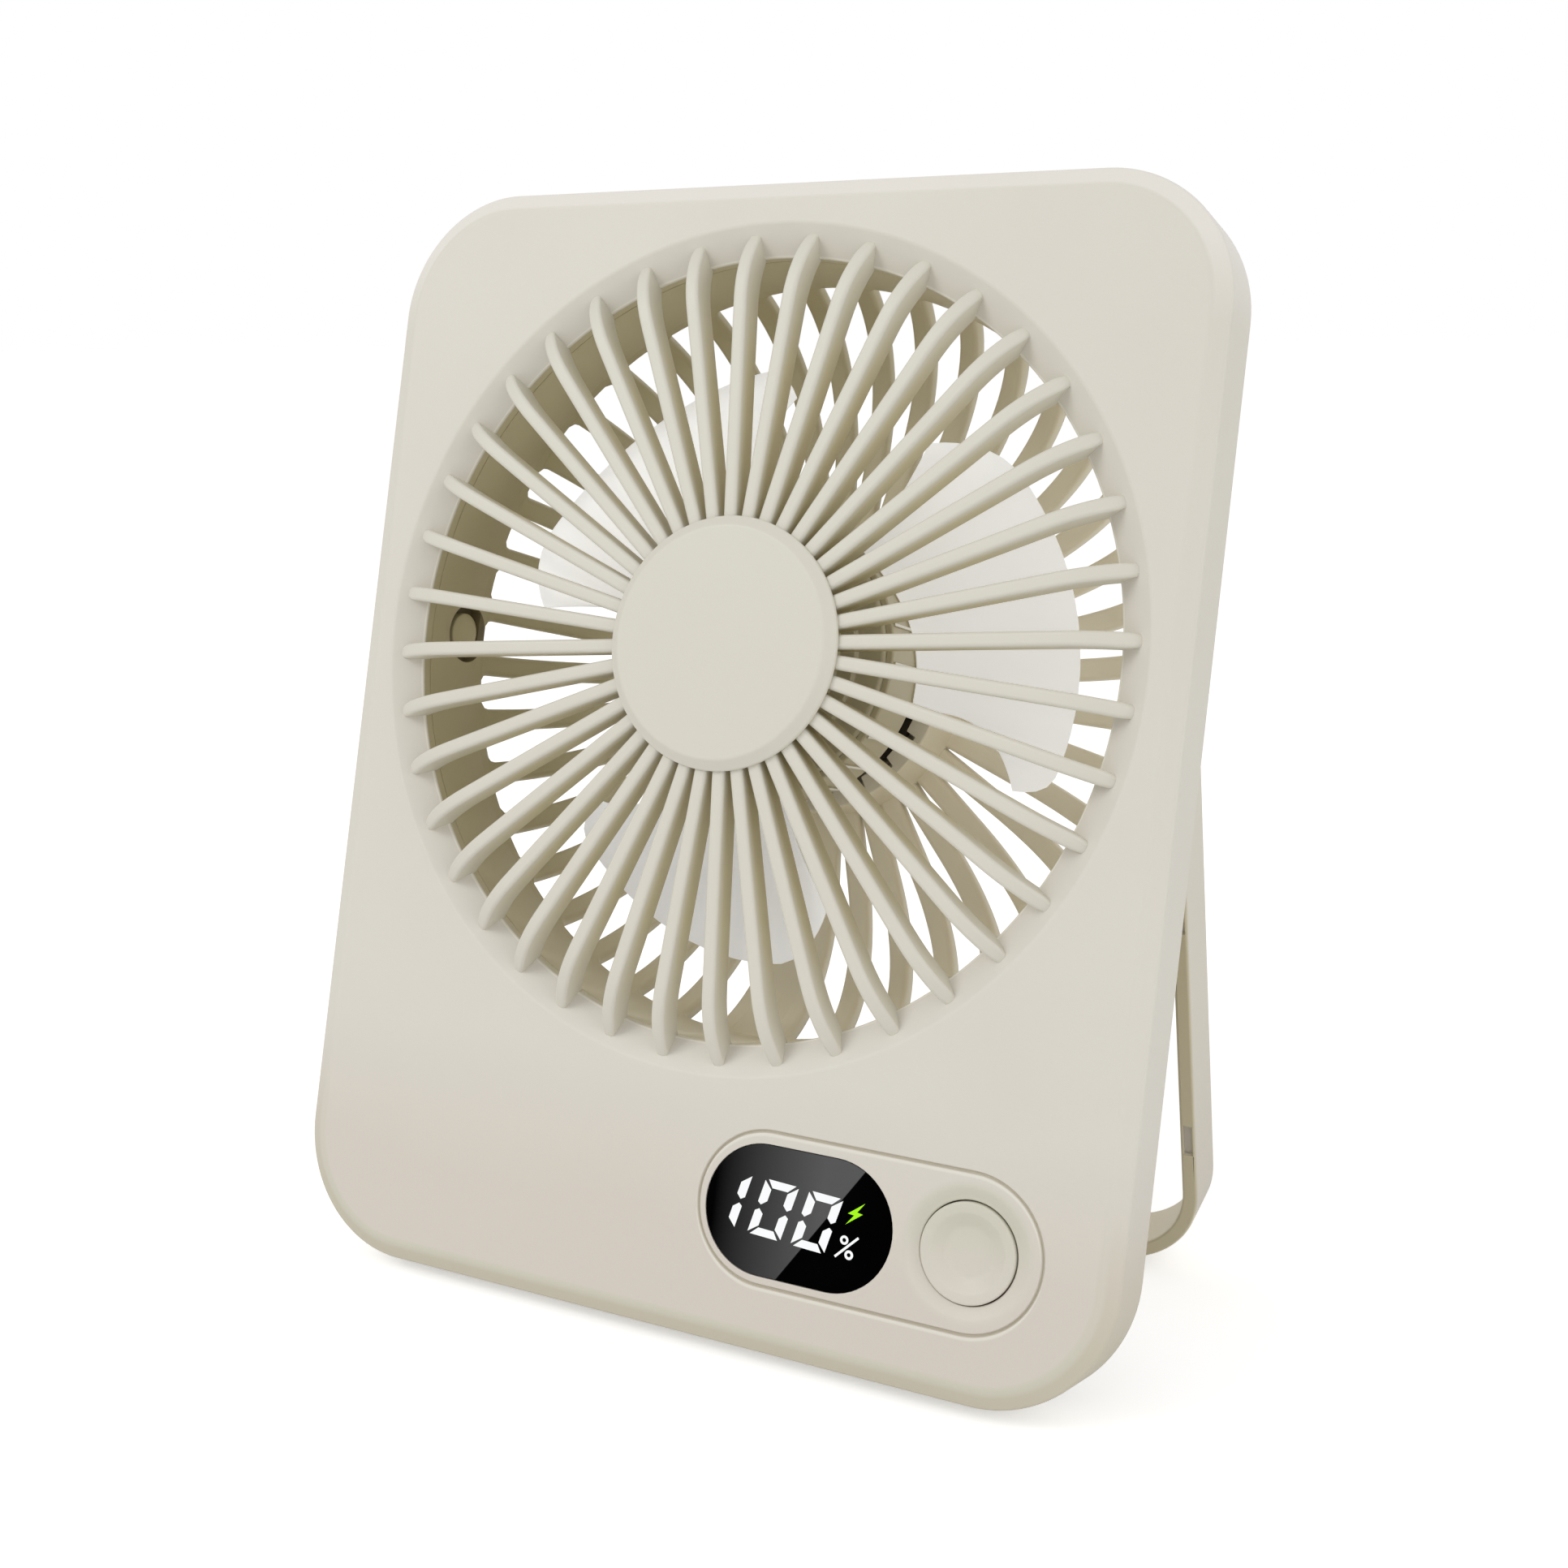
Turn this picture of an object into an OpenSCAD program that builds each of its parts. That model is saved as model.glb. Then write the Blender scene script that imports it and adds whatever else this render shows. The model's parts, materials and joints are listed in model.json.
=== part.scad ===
// Portable camping fan with a folding bail stand.
// Everything is built upright in the body's own frame: x to the right, y rearwards, z up,
// with y = 0 at the front edge of the side wall. body_frame() then leans it back on its stand.

/* [Body] */
// Width of the front shell
body_w = 112; // [108:1:120]
// Height of the front shell
body_h = 139; // [136:1:150]
// Outer corner radius
corner_r = 16; // [15:0.5:20]
// Depth of the side wall
skirt_d = 7.7; // [6:0.1:10]
// Thickness of the side wall
skirt_t = 2; // [1.6:0.1:2.2]
// Width of the soft edge round the front
bevel_w = 2; // [1:0.1:3]
// Depth of the soft edge round the front
bevel_d = 0.9; // [0.5:0.1:1.5]
// Thickness of the front wall
front_t = 2.2; // [1.8:0.1:2.6]
// Angle by which the body leans back on its stand
lean = 15.5; // [12:0.5:18]

/* [Fan opening] */
// Width of the frame beside the opening
side_margin = 4; // [3.8:0.1:5]
// Width of the frame above the opening
top_margin = 4.65; // [4.6:0.05:6]
// Width of the frame between the opening and the panel outline
panel_clear = 4.45; // [4:0.05:6]
// Width of the funnel between the flat front and the air duct
funnel_w = 4.3; // [3.8:0.1:4.6]
// Thickness of the duct wall
duct_t = 1.5; // [1.2:0.1:1.8]
// Depth of the funnel's inner lip behind the flat front
funnel_d = 1.9; // [1.5:0.1:2.2]
// Thickness of the grille's hidden seat behind the front wall
seat_t = 1.2; // [1:0.1:1.5]
// Overlap of the seat behind the front wall
seat_lap = 1.4; // [1:0.1:1.5]

/* [Front grille] */
// Number of ribs
rib_count = 40; // [24:1:44]
// Width of a rib at the hub
rib_w = 1.7; // [1.4:0.1:2]
// Width of a rib at its outer end
rib_tip_w = 1.8; // [1.6:0.1:2.4]
// Depth of a rib
rib_d = 3.5; // [2.8:0.1:4]
// Height of the ribs in front of the flat front
rib_rise = 2.8; // [1:0.1:3]
// Height of a rib's end above the funnel
rib_end_h = 0.3; // [0:0.1:0.6]
// Distance of the rib ends from the edge of the opening
rib_end_gap = 1.8; // [1.5:0.1:3]
// Length over which the ribs curve down to the funnel
rib_bend_len = 9.2; // [6:0.1:12]
// Steepness of the curve at the rib ends
rib_bend_power = 2.6; // [1.5:0.1:3.5]
// Radius of the hub disc
grille_hub_r = 14; // [12:0.5:14.5]
// Radius of the cap
cap_r = 15.3; // [15:0.1:17]
// Radius of the cap's flat face
cap_flat_r = 14; // [12:0.1:14.5]
// Height of the cap above the ribs
cap_h = 1.4; // [1.1:0.1:4]
// Height of the cap's sloped edge
cap_edge_h = 0.9; // [0.5:0.1:1]
// Radius of the cap's stud
cap_stud_r = 3; // [2:0.1:4]

/* [Rear shell] */
// Width of the channel round the rear shell in which the stand folds
stand_channel = 3.5; // [3.4:0.1:4]
// Height of the rear shell's underside
rear_bottom = 4.95; // [4.9:0.05:5.5]
// Gap between the rear shell's top and the top of the body
rear_top_gap = 5.5; // [4:0.1:5.8]
// Corner radius of the rear shell
rear_r = 10; // [9:0.5:11]
// Wall thickness of the rear shell
rear_t = 1.5; // [1.2:0.1:1.8]
// Depth of the rear shell's flat back
rear_d = 12.4; // [11.5:0.1:13]
// Distance of the battery bulge's ends from the ends of the rear shell
bulge_inset = 8.5; // [8:0.5:9.5]
// Height of the battery bulge's underside
bulge_bottom = 7.5; // [7:0.5:9]
// Height of the battery bulge's top
bulge_top = 31.5; // [30:0.5:32]
// Depth of the battery bulge's back
bulge_d = 26.5; // [25:0.5:27]
// Soft edge of the battery bulge
bulge_edge = 3; // [2:0.5:4]
// Corner radius of the battery bulge
bulge_r = 6; // [4:0.5:8]

/* [Rear grille] */
// Number of spokes
spoke_count = 40; // [30:1:44]
// Width of a spoke
spoke_w = 2.8; // [2.2:0.1:3]
// Thickness of the domed grille
dome_t = 2.2; // [1.8:0.1:2.6]
// Depth of the dome behind its rim
dome_bulge = 12.9; // [12:0.1:14]
// Width of the dome's curved edge
dome_run = 18.7; // [17:0.1:20]
// Thickness of the dome's rim
rim_t = 1.6; // [1.2:0.1:2]
// Width of the wire channel that runs down to the bottom of the rim
channel_w = 6.4; // [5:0.2:8]
// Outer radius of the motor cup
cup_r = 19; // [18.5:0.1:20]
// Wall thickness of the motor cup
cup_t = 2.6; // [2:0.1:3]
// Depth at which the motor cup begins
cup_front_d = 19.5; // [19:0.5:21]
// Number of slots in the motor cup's rim
cup_slots = 24; // [12:1:30]
// Width of a slot in the motor cup's rim
cup_slot_w = 2.2; // [1.6:0.1:2.6]
// Depth of a slot in the motor cup's rim
cup_slot_d = 3; // [2:0.5:4]

/* [Impeller] */
// Number of blades
blade_count = 3; // [2:1:3]
// Gap between the blade tips and the duct
tip_gap = 8.2; // [8:0.1:13]
// Outer radius of the impeller's hub
hub_r = 17; // [16.5:0.1:17.5]
// Wall thickness of the hub
hub_t = 1.2; // [1:0.1:1.3]
// Depth of the hub's front face
hub_front_d = 5; // [4.6:0.1:6]
// Length of the hub
hub_len = 9.5; // [9:0.1:10]
// Radius of the raised centre of the hub's face
hub_step_r = 13.4; // [11:0.1:14.5]
// Height of the raised centre of the hub's face
hub_step_h = 0.6; // [0.4:0.1:1]
// Thickness of the white sleeve that carries the blades
sleeve_t = 0.9; // [0.7:0.1:1.2]
// Angle that a blade spans at its root
blade_root_span = 75.5; // [50:0.5:80]
// Angle that a blade spans at its tip
blade_tip_span = 76; // [60:1:85]
// Angle of a blade's leading edge at the root
blade_lead = -15.5; // [-20:0.5:0]
// Angle by which the middle of the leading edge is drawn back
blade_rise = 4.6; // [0:0.1:6]
// Angle by which the leading edge reaches forward at the tip
blade_sweep = 7; // [0:0.5:15]
// Depth of a blade's leading edge
blade_lead_d = 15.2; // [14:0.1:16]
// Depth of a blade's trailing edge
blade_trail_d = 5.6; // [5.5:0.1:9]
// Camber of a blade
blade_camber = 3; // [0:0.1:3.2]
// Thickness of a blade
blade_t = 1.1; // [0.8:0.1:1.6]

/* [Motor] */
// Radius of the motor shaft
shaft_r = 1.5; // [1:0.1:2]
// Outer radius of the bearings
bearing_r = 4; // [3.5:0.1:4.5]
// Thickness of a bearing
bearing_w = 3; // [2:0.5:4]
// Outer radius of the bearing tube
tube_r = 5.4; // [5:0.1:6]
// Outer radius of the rotor's steel cup
rotor_r = 15.6; // [15.3:0.1:15.6]
// Wall thickness of the rotor's steel cup
rotor_t = 0.8; // [0.6:0.1:1]
// Length of the rotor's steel cup
rotor_len = 10.5; // [9:0.5:11]
// Thickness of the magnet ring
magnet_t = 1.2; // [1:0.1:1.6]
// Outer radius of the stator
stator_r = 13; // [12:0.1:13.2]
// Length of the stator
stator_len = 6; // [5:0.5:7]
// Number of stator poles
pole_count = 9; // [6:3:12]
// Radius of the motor's circuit board
motor_board_r = 14.5; // [12:0.5:15.5]

/* [Panel] */
// Height of the panel's centre line
panel_z = 16.9; // [16:0.1:18]
// Distance of the panel's centre from the edge of the body
panel_side = 30.55; // [30:0.05:31]
// Length of the panel's outline
panel_len = 43.4; // [42:0.2:46]
// Height of the panel's outline
panel_h = 18; // [17:0.2:19]
// Width of the outline's groove
groove_w = 0.35; // [0.2:0.05:0.5]
// Depth of the outline's groove
groove_d = 0.3; // [0.2:0.05:0.6]
// Distance of the display's centre from the panel's centre
display_side = 8.55; // [8:0.05:9]
// Length of the display window
display_len = 24.2; // [22:0.1:24.6]
// Height of the display window
display_h = 15; // [13:0.1:15.4]
// Thickness of the display window
window_t = 1.2; // [0.8:0.1:1.4]
// Ledge that the display window rests on
window_ledge = 1; // [0.6:0.1:1.5]
// Distance of the button's centre from the panel's centre
button_side = 13.05; // [12.6:0.05:13.4]
// Radius of the button
button_r = 5.85; // [5:0.05:6]
// Gap round the button
button_gap = 0.2; // [0.15:0.05:0.3]
// Travel of the button
button_travel = 0.5; // [0.3:0.1:0.6]
// Radius of the button's dish
dish_r = 4.9; // [4:0.1:5]
// Depth of the button's dish
dish_d = 0.35; // [0.2:0.05:0.5]
// Width of the button's retaining flange
flange_w = 1.1; // [0.8:0.1:1.2]
// Thickness of the button's retaining flange
flange_t = 0.8; // [0.6:0.1:1]

/* [Electronics] */
// Depth of the control board's front face
board_d = 4.6; // [4.4:0.1:5]
// Thickness of the control board
board_t = 1; // [0.8:0.1:1.6]
// Shank radius of the board screws
board_screw_r = 0.65; // [0.5:0.05:0.8]
// Side of the control board's larger chip
chip_w = 5; // [4:0.5:6]
// Thickness of the chips
chip_t = 0.9; // [0.6:0.1:1.2]
// Side of the push switch
switch_w = 6; // [5:0.5:7]
// Height of the push switch's housing
switch_h = 1.5; // [1.2:0.1:1.6]
// Radius of the push switch's plunger
plunger_r = 1.6; // [1.2:0.1:1.8]
// Room kept between the battery pack and the socket's end of the bulge
socket_room = 10.5; // [10:0.5:14]
// Room kept at the other end of the battery pack
battery_end_gap = 2.5; // [2.2:0.1:4]
// Height of the battery pack
battery_h = 20; // [16:0.5:20.4]
// Thickness of the battery pack
battery_t = 15.4; // [12:0.2:16]
// Gap between the battery pack and the bulge, filled by the pads
battery_gap = 0.3; // [0.2:0.1:1]
// Side of a battery pad
pad_w = 10; // [6:1:12]
// Width of the charging socket
socket_w = 8.94; // [8.94:0.01:9.2]
// Height of the charging socket
socket_h = 3.26; // [3.26:0.01:3.4]
// Length of the charging socket
socket_len = 7.3; // [6.5:0.1:8]
// Thickness of the charging socket's steel shell
socket_t = 0.35; // [0.25:0.05:0.4]
// Thickness of the charging socket's back
socket_back = 1.2; // [0.8:0.1:1.5]
// Depth of the charging socket's centre
socket_d = 18.6; // [18:0.1:19.5]
// Length of the charging board
charging_board_len = 8; // [7:0.5:9]
// Width of the charging board
charging_board_w = 12; // [10:0.5:14]

/* [Stand] */
// Gap between the stand and the side wall
stand_gap = 1; // [0.8:0.05:1.1]
// Thickness of the stand's band
stand_t = 2; // [1.8:0.05:2.05]
// Width of the stand's band
band_w = 7.4; // [6.5:0.1:7.8]
// Outer corner radius of the stand
stand_r = 12.5; // [12.4:0.1:14]
// Gap between the folded stand's crossbar and the side wall below it
stand_foot_gap = 0.45; // [0.35:0.05:0.85]
// Depth of the pivot
pivot_d = 10; // [9.5:0.1:10.3]
// Radius of the pivot pins
pin_r = 2; // [1.5:0.1:2.2]
// Radius of the pin's head inside the duct
pin_head_r = 3.2; // [2.6:0.1:3.2]
// Height of the pin's head inside the duct
pin_head_h = 1.1; // [0.8:0.1:1.2]
// Radius of the round lug that carries the pivot
lug_r = 8; // [7:0.5:8.5]
// Radius of the recess round the pin's head
recess_r = 3.9; // [3.6:0.1:4.5]
// Wall left behind the recess
lug_web = 1.3; // [1:0.1:1.6]
// Height of the detent notches above the crossbar, and the second pair's
notch_z = [18.4, 50]; // [10:1:60]
// Length of a detent notch
notch_len = 4.2; // [3:0.1:5]
// Depth of a detent notch
notch_d = 0.7; // [0.4:0.1:1]
// Width of a detent notch
notch_w = 1.2; // [0.8:0.1:1.4]
// Length of the rubber strip under the crossbar
strip_len = 60; // [40:1:70]
// Width of the rubber strip
strip_w = 4; // [2:0.5:5]
// Depth to which the rubber strip is let in
strip_d = 0.8; // [0.5:0.1:1]

/* [Fasteners] */
// Shank radius of the shell screws
screw_r = 1.25; // [1:0.05:1.4]
// Head radius of the shell screws
screw_head_r = 2.2; // [1.9:0.1:2.4]
// Head height of the shell screws
screw_head_h = 1.4; // [1.2:0.1:1.8]
// Depth to which the shell screws' heads are sunk
screw_sink = 2; // [1.5:0.1:2.4]
// Distance of the top screws from the rear shell's side
top_screw_in = 8.5; // [8:0.1:10]
// Distance of the other screws from the rear shell's side
side_screw_in = 5.9; // [5.6:0.1:6.2]
// Radius of the screw posts
post_r = 2.7; // [2.4:0.1:3]
// Shank radius of the motor screws
motor_screw_r = 0.8; // [0.6:0.1:1]
// Pitch circle radius of the motor screws
motor_screw_pcr = 10.5; // [9:0.5:12]

/* [Clearances] */
// Fit between fixed pieces
fit_gap = 0.05; // [0.03:0.01:0.1]
// Radial gap of running pins and shafts
run_gap = 0.05; // [0.03:0.01:0.08]
// Gap at a hinge washer
washer_gap = 0.05; // [0.02:0.01:0.1]

/* [Hidden] */
$fn = 96;

// main widths, all from the width of the front shell
rear_half_w = body_w / 2 - skirt_t - stand_channel;
stand_half_w = body_w / 2 - skirt_t - stand_gap;
bulge_half_w = rear_half_w - bulge_inset;
bezel_r = min(body_w / 2 - side_margin,
  (body_h - top_margin - panel_z - panel_h / 2 - panel_clear) / 2);
fan_z = body_h - top_margin - bezel_r;
duct_r = bezel_r - funnel_w;
rib_tip_r = bezel_r - rib_end_gap;
rib_bend_r = rib_tip_r - rib_bend_len;
blade_r = duct_r - tip_gap;
panel_x = body_w / 2 - panel_side;
display_x = panel_x - display_side;
button_x = panel_x + button_side;

// front wall
front_y = -bevel_d;
crown_y = front_y - rib_rise;
wall_y = front_y + front_t;
lip_y = front_y + funnel_d;
seat_y = wall_y + seat_t;

// rear shell
rear_top = body_h - rear_top_gap;
rear_in_d = rear_d - rear_t;
duct_out_r = duct_r + duct_t;

// dome: the inner surface is an arc from the rim to the flat, the outer one runs dome_t outside
dome_d = rear_d + rim_t;
dome_flat_r = duct_r - dome_run;
dome_arc = (dome_run * dome_run + dome_bulge * dome_bulge) / (2 * dome_bulge);
dome_c = dome_d + dome_bulge - dome_arc;
dome_back = dome_d + dome_bulge + dome_t;
rim_r = duct_r + dome_t;

// motor and impeller
hub_back_d = hub_front_d + hub_len;
rotor_front_d = hub_front_d + hub_step_h + hub_t + 0.1;
stator_front_d = rotor_front_d + rotor_t + 1.6;
tube_front_d = rotor_front_d + rotor_t + 1;
plate_d = dome_d + dome_bulge;
sleeve_r = hub_r + sleeve_t;

// stand: the angle at which the crossbar's edge and the body's edge meet the same level
lift = skirt_d * sin(lean);
pivot_z = fan_z;
stand_reach = pivot_z - skirt_t - stand_foot_gap;
pivot_level = pivot_z * cos(lean) - pivot_d * sin(lean) + lift;
reach_diag = sqrt(pow(stand_reach, 2) + pow(band_w / 2, 2));
open_angle = lean + atan2(band_w / 2, stand_reach) + acos(min(1, pivot_level / reach_diag));
stand_in_w = stand_half_w - stand_t;

// the origin lies under the middle of the whole object
dome_reach = (fan_z + dome_flat_r) * sin(lean) + dome_c * cos(lean) + dome_arc + dome_t;
front_reach = min(0, bevel_w * sin(lean) - bevel_d * cos(lean));
shift_y = -(dome_reach + front_reach) / 2;

// shell screws: two at the top corners, two at the waist, two at the bottom corners
screw_x = [rear_half_w - top_screw_in, rear_half_w - side_screw_in, rear_half_w - side_screw_in];
screw_z = [rear_top - 7.5, bulge_top + 6.5, rear_bottom + 6.2];
screw_places = [for (i = [0:2]) for (s = [-1, 1]) [s * screw_x[i], screw_z[i]]];
sink_wall = 1.2;
post_top = rear_d - screw_sink - screw_head_h - sink_wall;
boss_r = screw_head_r + 0.2 + 1.1;

// panel pieces
board_x0 = display_x - display_len / 2 + 0.4;
board_x1 = button_x + switch_w / 2 + 0.1;
board_half_h = panel_h / 2 - 0.6;
board_mid_x = (display_x + display_len / 2 + button_x - button_r) / 2 + 0.15;
board_back = board_d + board_t;
board_screw_z = [for (s = [-1, 1]) panel_z + s * (board_half_h - 2.5 * board_screw_r)];

// battery
bulge_t = rear_t;
battery_back = bulge_d - bulge_t - battery_gap;
battery_z = (bulge_bottom + bulge_top) / 2;
battery_x1 = bulge_half_w - bulge_t - battery_end_gap;
battery_len = battery_x1 + bulge_half_w - bulge_t - socket_room;

module body_frame() {
  translate([0, shift_y, lift]) rotate([-lean, 0, 0]) children();
}

// children are drawn in x and z and run from depth d0 to depth d1
module slab(d0, d1) {
  translate([0, d1, 0]) rotate([90, 0, 0]) linear_extrude(d1 - d0) children();
}

// children are drawn about the fan axis, with their z as depth
module about_axis() {
  translate([0, 0, fan_z]) rotate([-90, 0, 0]) children();
}

// a disc round the fan axis from depth d0 to depth d1
module disc(r, d0, d1) {
  about_axis() translate([0, 0, d0]) cylinder(r = r, h = d1 - d0);
}

// a round piece with its axis along y at x, z
module peg(x, z, r, d0, d1) {
  translate([x, d0, z]) rotate([-90, 0, 0]) cylinder(r = r, h = d1 - d0);
}

// a round piece along the pivot axis from x0 to x1
module pivot_peg(r, x0, x1) {
  translate([x0, pivot_d, pivot_z]) rotate([0, 90, 0]) cylinder(r = r, h = x1 - x0);
}

module on_both_sides() {
  children();
  mirror([1, 0, 0]) children();
}

module round_rect(x0, z0, x1, z1, r) {
  translate([x0 + r, z0]) square([x1 - x0 - 2 * r, z1 - z0]);
  translate([x0, z0 + r]) square([x1 - x0, z1 - z0 - 2 * r]);
  for (x = [x0 + r, x1 - r]) {
    for (z = [z0 + r, z1 - r]) {
      translate([x, z]) circle(r = r);
    }
  }
}

module pill(x, len, h) {
  translate([x - (len - h) / 2, panel_z - h / 2]) square([len - h, h]);
  translate([x - (len - h) / 2, panel_z]) circle(d = h);
  translate([x + (len - h) / 2, panel_z]) circle(d = h);
}

// a rounded slab whose edge slopes in by w over the depth from d0 to d1
module sloped_slab(x0, z0, x1, z1, r, w, d0, d1) {
  h = abs(d1 - d0);
  for (x = [x0 + r, x1 - r]) {
    for (z = [z0 + r, z1 - r]) {
      translate([x, min(d0, d1), z]) rotate([-90, 0, 0])
        cylinder(r1 = d0 < d1 ? r : r - w, r2 = d0 < d1 ? r - w : r, h = h);
    }
  }
  translate([x0 + r, 0, 0]) rotate([90, 0, 90]) linear_extrude(x1 - x0 - 2 * r)
    polygon([[d0, z0], [d0, z1], [d1, z1 - w], [d1, z0 + w]]);
  translate([0, 0, z0 + r]) linear_extrude(z1 - z0 - 2 * r)
    polygon([[x0, d0], [x1, d0], [x1 - w, d1], [x0 + w, d1]]);
}

module front_shell() {
  color("#dad7cc") difference() {
    union() {
      sloped_slab(-body_w / 2, 0, body_w / 2, body_h, corner_r, bevel_w, 0, front_y);
      difference() {
        slab(0, skirt_d) round_rect(-body_w / 2, 0, body_w / 2, body_h, corner_r);
        slab(wall_y, skirt_d + 1)
          round_rect(skirt_t - body_w / 2, skirt_t, body_w / 2 - skirt_t, body_h - skirt_t, corner_r - skirt_t);
      }
      for (p = screw_places) peg(p[0], p[1], post_r, wall_y, post_top);
      for (z = board_screw_z) peg(board_mid_x, z, 2 * board_screw_r, wall_y, board_d);
      peg(button_x, panel_z, button_r + button_gap + flange_w + 1.3, wall_y, wall_y + 1.6);
    }
    disc(bezel_r + fit_gap, front_y - 1, wall_y + 1);
    slab(front_y - 1, front_y + groove_d) difference() {
      pill(panel_x, panel_len, panel_h);
      pill(panel_x, panel_len - 2 * groove_w, panel_h - 2 * groove_w);
    }
    slab(front_y - 1, front_y + window_t) pill(display_x, display_len + 2 * fit_gap, display_h + 2 * fit_gap);
    slab(front_y, wall_y + 1) pill(display_x, display_len - 2 * window_ledge, display_h - 2 * window_ledge);
    peg(button_x, panel_z, button_r + button_gap, front_y - 1, wall_y + 1);
    peg(button_x, panel_z, button_r + button_gap + flange_w, wall_y, wall_y + 2);
    translate([button_x, front_y - 0.01, panel_z]) rotate([-90, 0, 0])
      cylinder(r1 = button_r + 1.25, r2 = button_r + 0.5, h = 0.22);
    for (p = screw_places) peg(p[0], p[1], screw_r + fit_gap, wall_y + 0.8, post_top + 1);
    for (z = board_screw_z) peg(board_mid_x, z, board_screw_r + fit_gap, wall_y + 0.4, board_d + 1);
  }
}

// plan of one rib: it widens outwards and ends in a round tip
module rib_plan() {
  r0 = cap_stud_r + 2;
  r1 = rib_tip_r - rib_tip_w / 2;
  polygon([[r0, -rib_w / 2], [r1, -rib_tip_w / 2], [r1, rib_tip_w / 2], [r0, rib_w / 2]]);
  translate([r1, 0]) circle(d = rib_tip_w, $fn = 24);
}

// side view of the ribs, revolved: flat, then curving down on to the funnel at the tip
module rib_side() {
  slope = funnel_d / funnel_w;
  funnel_y = front_y + (bezel_r - rib_tip_r) * slope;
  drop = funnel_y - rib_end_h - crown_y;
  steps = 8;
  curve = [for (i = [0:steps]) let (t = i / steps)
    [rib_bend_r + t * (rib_tip_r - rib_bend_r), crown_y + pow(t, rib_bend_power) * drop]];
  polygon(concat(
    [[0, crown_y]], curve,
    [[rib_tip_r, funnel_y + 0.4], [duct_r - 0.2, lip_y + 0.4],
     [rib_bend_r, crown_y + rib_d], [0, crown_y + rib_d]]));
}

module front_grille() {
  color("#dad7cc") difference() {
    union() {
      about_axis() rotate_extrude() polygon([
        [duct_r, lip_y], [bezel_r, front_y], [bezel_r, wall_y], [bezel_r + seat_lap, wall_y],
        [bezel_r + seat_lap, seat_y], [duct_r, seat_y]]);
      disc(grille_hub_r, crown_y, crown_y + rib_d);
      about_axis() intersection() {
        rotate_extrude() rib_side();
        translate([0, 0, crown_y - 1]) linear_extrude(rib_rise + rib_d + 3)
          for (i = [0:rib_count - 1]) rotate((i + 0.5) * 360 / rib_count) rib_plan();
      }
    }
    disc(cap_stud_r + fit_gap, crown_y - 1, crown_y + rib_d + 1);
  }
}

module centre_cap() {
  color("#dcd9ce") union() {
    about_axis() rotate_extrude() polygon([
      [0, crown_y], [cap_r, crown_y], [cap_r, crown_y - cap_h + cap_edge_h],
      [cap_flat_r, crown_y - cap_h], [0, crown_y - cap_h]]);
    disc(cap_stud_r, crown_y - 0.5, crown_y + rib_d - 0.4);
  }
}

module display_window() {
  color("#0b0b0c") slab(front_y, front_y + window_t) pill(display_x, display_len, display_h);
}

module display_module() {
  w = display_len - 2 * window_ledge - 0.6;
  h = display_h - 2 * window_ledge - 0.6;
  color("#2a2b2d") union() {
    slab(front_y + window_t, wall_y) pill(display_x, w, h);
    slab(wall_y, board_d) translate([display_x - w / 2, panel_z - h / 2]) square([w, h]);
  }
}

module power_button() {
  flange_y = wall_y + 0.05;
  color("#dad7cc") difference() {
    union() {
      peg(button_x, panel_z, button_r, front_y, flange_y + flange_t);
      peg(button_x, panel_z, button_r + flange_w - 0.2, flange_y, flange_y + flange_t);
    }
    translate([button_x, front_y - 0.01, panel_z]) rotate([-90, 0, 0])
      cylinder(r1 = dish_r, r2 = dish_r - 1.2, h = dish_d);
    peg(button_x, panel_z, button_r - 1.2, flange_y, flange_y + flange_t + 1);
  }
}

module switch_plunger() {
  color("#1d1d1f") peg(button_x, panel_z, plunger_r, wall_y + 0.05, board_d - switch_h + 0.3);
}

module switch_housing() {
  color("#3a3b3d") difference() {
    translate([button_x - switch_w / 2, board_d - switch_h, panel_z - switch_w / 2])
      cube([switch_w, switch_h, switch_w]);
    peg(button_x, panel_z, plunger_r + run_gap, board_d - switch_h - 1, board_d - 0.3);
  }
}

module control_board() {
  color("#1f6b3a") difference() {
    slab(board_d, board_back)
      translate([board_x0, panel_z - board_half_h]) square([board_x1 - board_x0, 2 * board_half_h]);
    for (z = board_screw_z) peg(board_mid_x, z, board_screw_r + 0.2, board_d - 1, board_back + 1);
  }
  for (i = [0, 1]) {
    w = chip_w - i * chip_w / 5;
    color("#222326") translate([board_x0 + chip_w * (0.6 + 1.8 * i), board_back, panel_z - w / 2 + i])
      cube([w, chip_t, w]);
  }
}

module board_screws() {
  color("#b9bbbe") for (z = board_screw_z) {
    peg(board_mid_x, z, board_screw_r, wall_y + 0.6, board_back);
    peg(board_mid_x, z, 2.3 * board_screw_r, board_back, board_back + 1.2 * board_screw_r);
  }
}

// outline of the lug round the pivot, seen from the side, cut at the depths d0 and d1
module lug(x0, x1, d0, d1) {
  intersection() {
    pivot_peg(lug_r, x0, x1);
    translate([x0 - 1, d0, pivot_z - 2 * lug_r]) cube([x1 - x0 + 2, d1 - d0, 4 * lug_r]);
  }
}

module bulge_solid(in) {
  x = bulge_half_w - in;
  z0 = bulge_bottom + in;
  z1 = bulge_top - in;
  r = bulge_r - in;
  edge = bulge_edge - in * (2 - sqrt(2));
  slab(seat_y + 6, bulge_d - in - edge) round_rect(-x, z0, x, z1, r);
  sloped_slab(-x, z0, x, z1, r, edge, bulge_d - in - edge, bulge_d - in);
}

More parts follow.
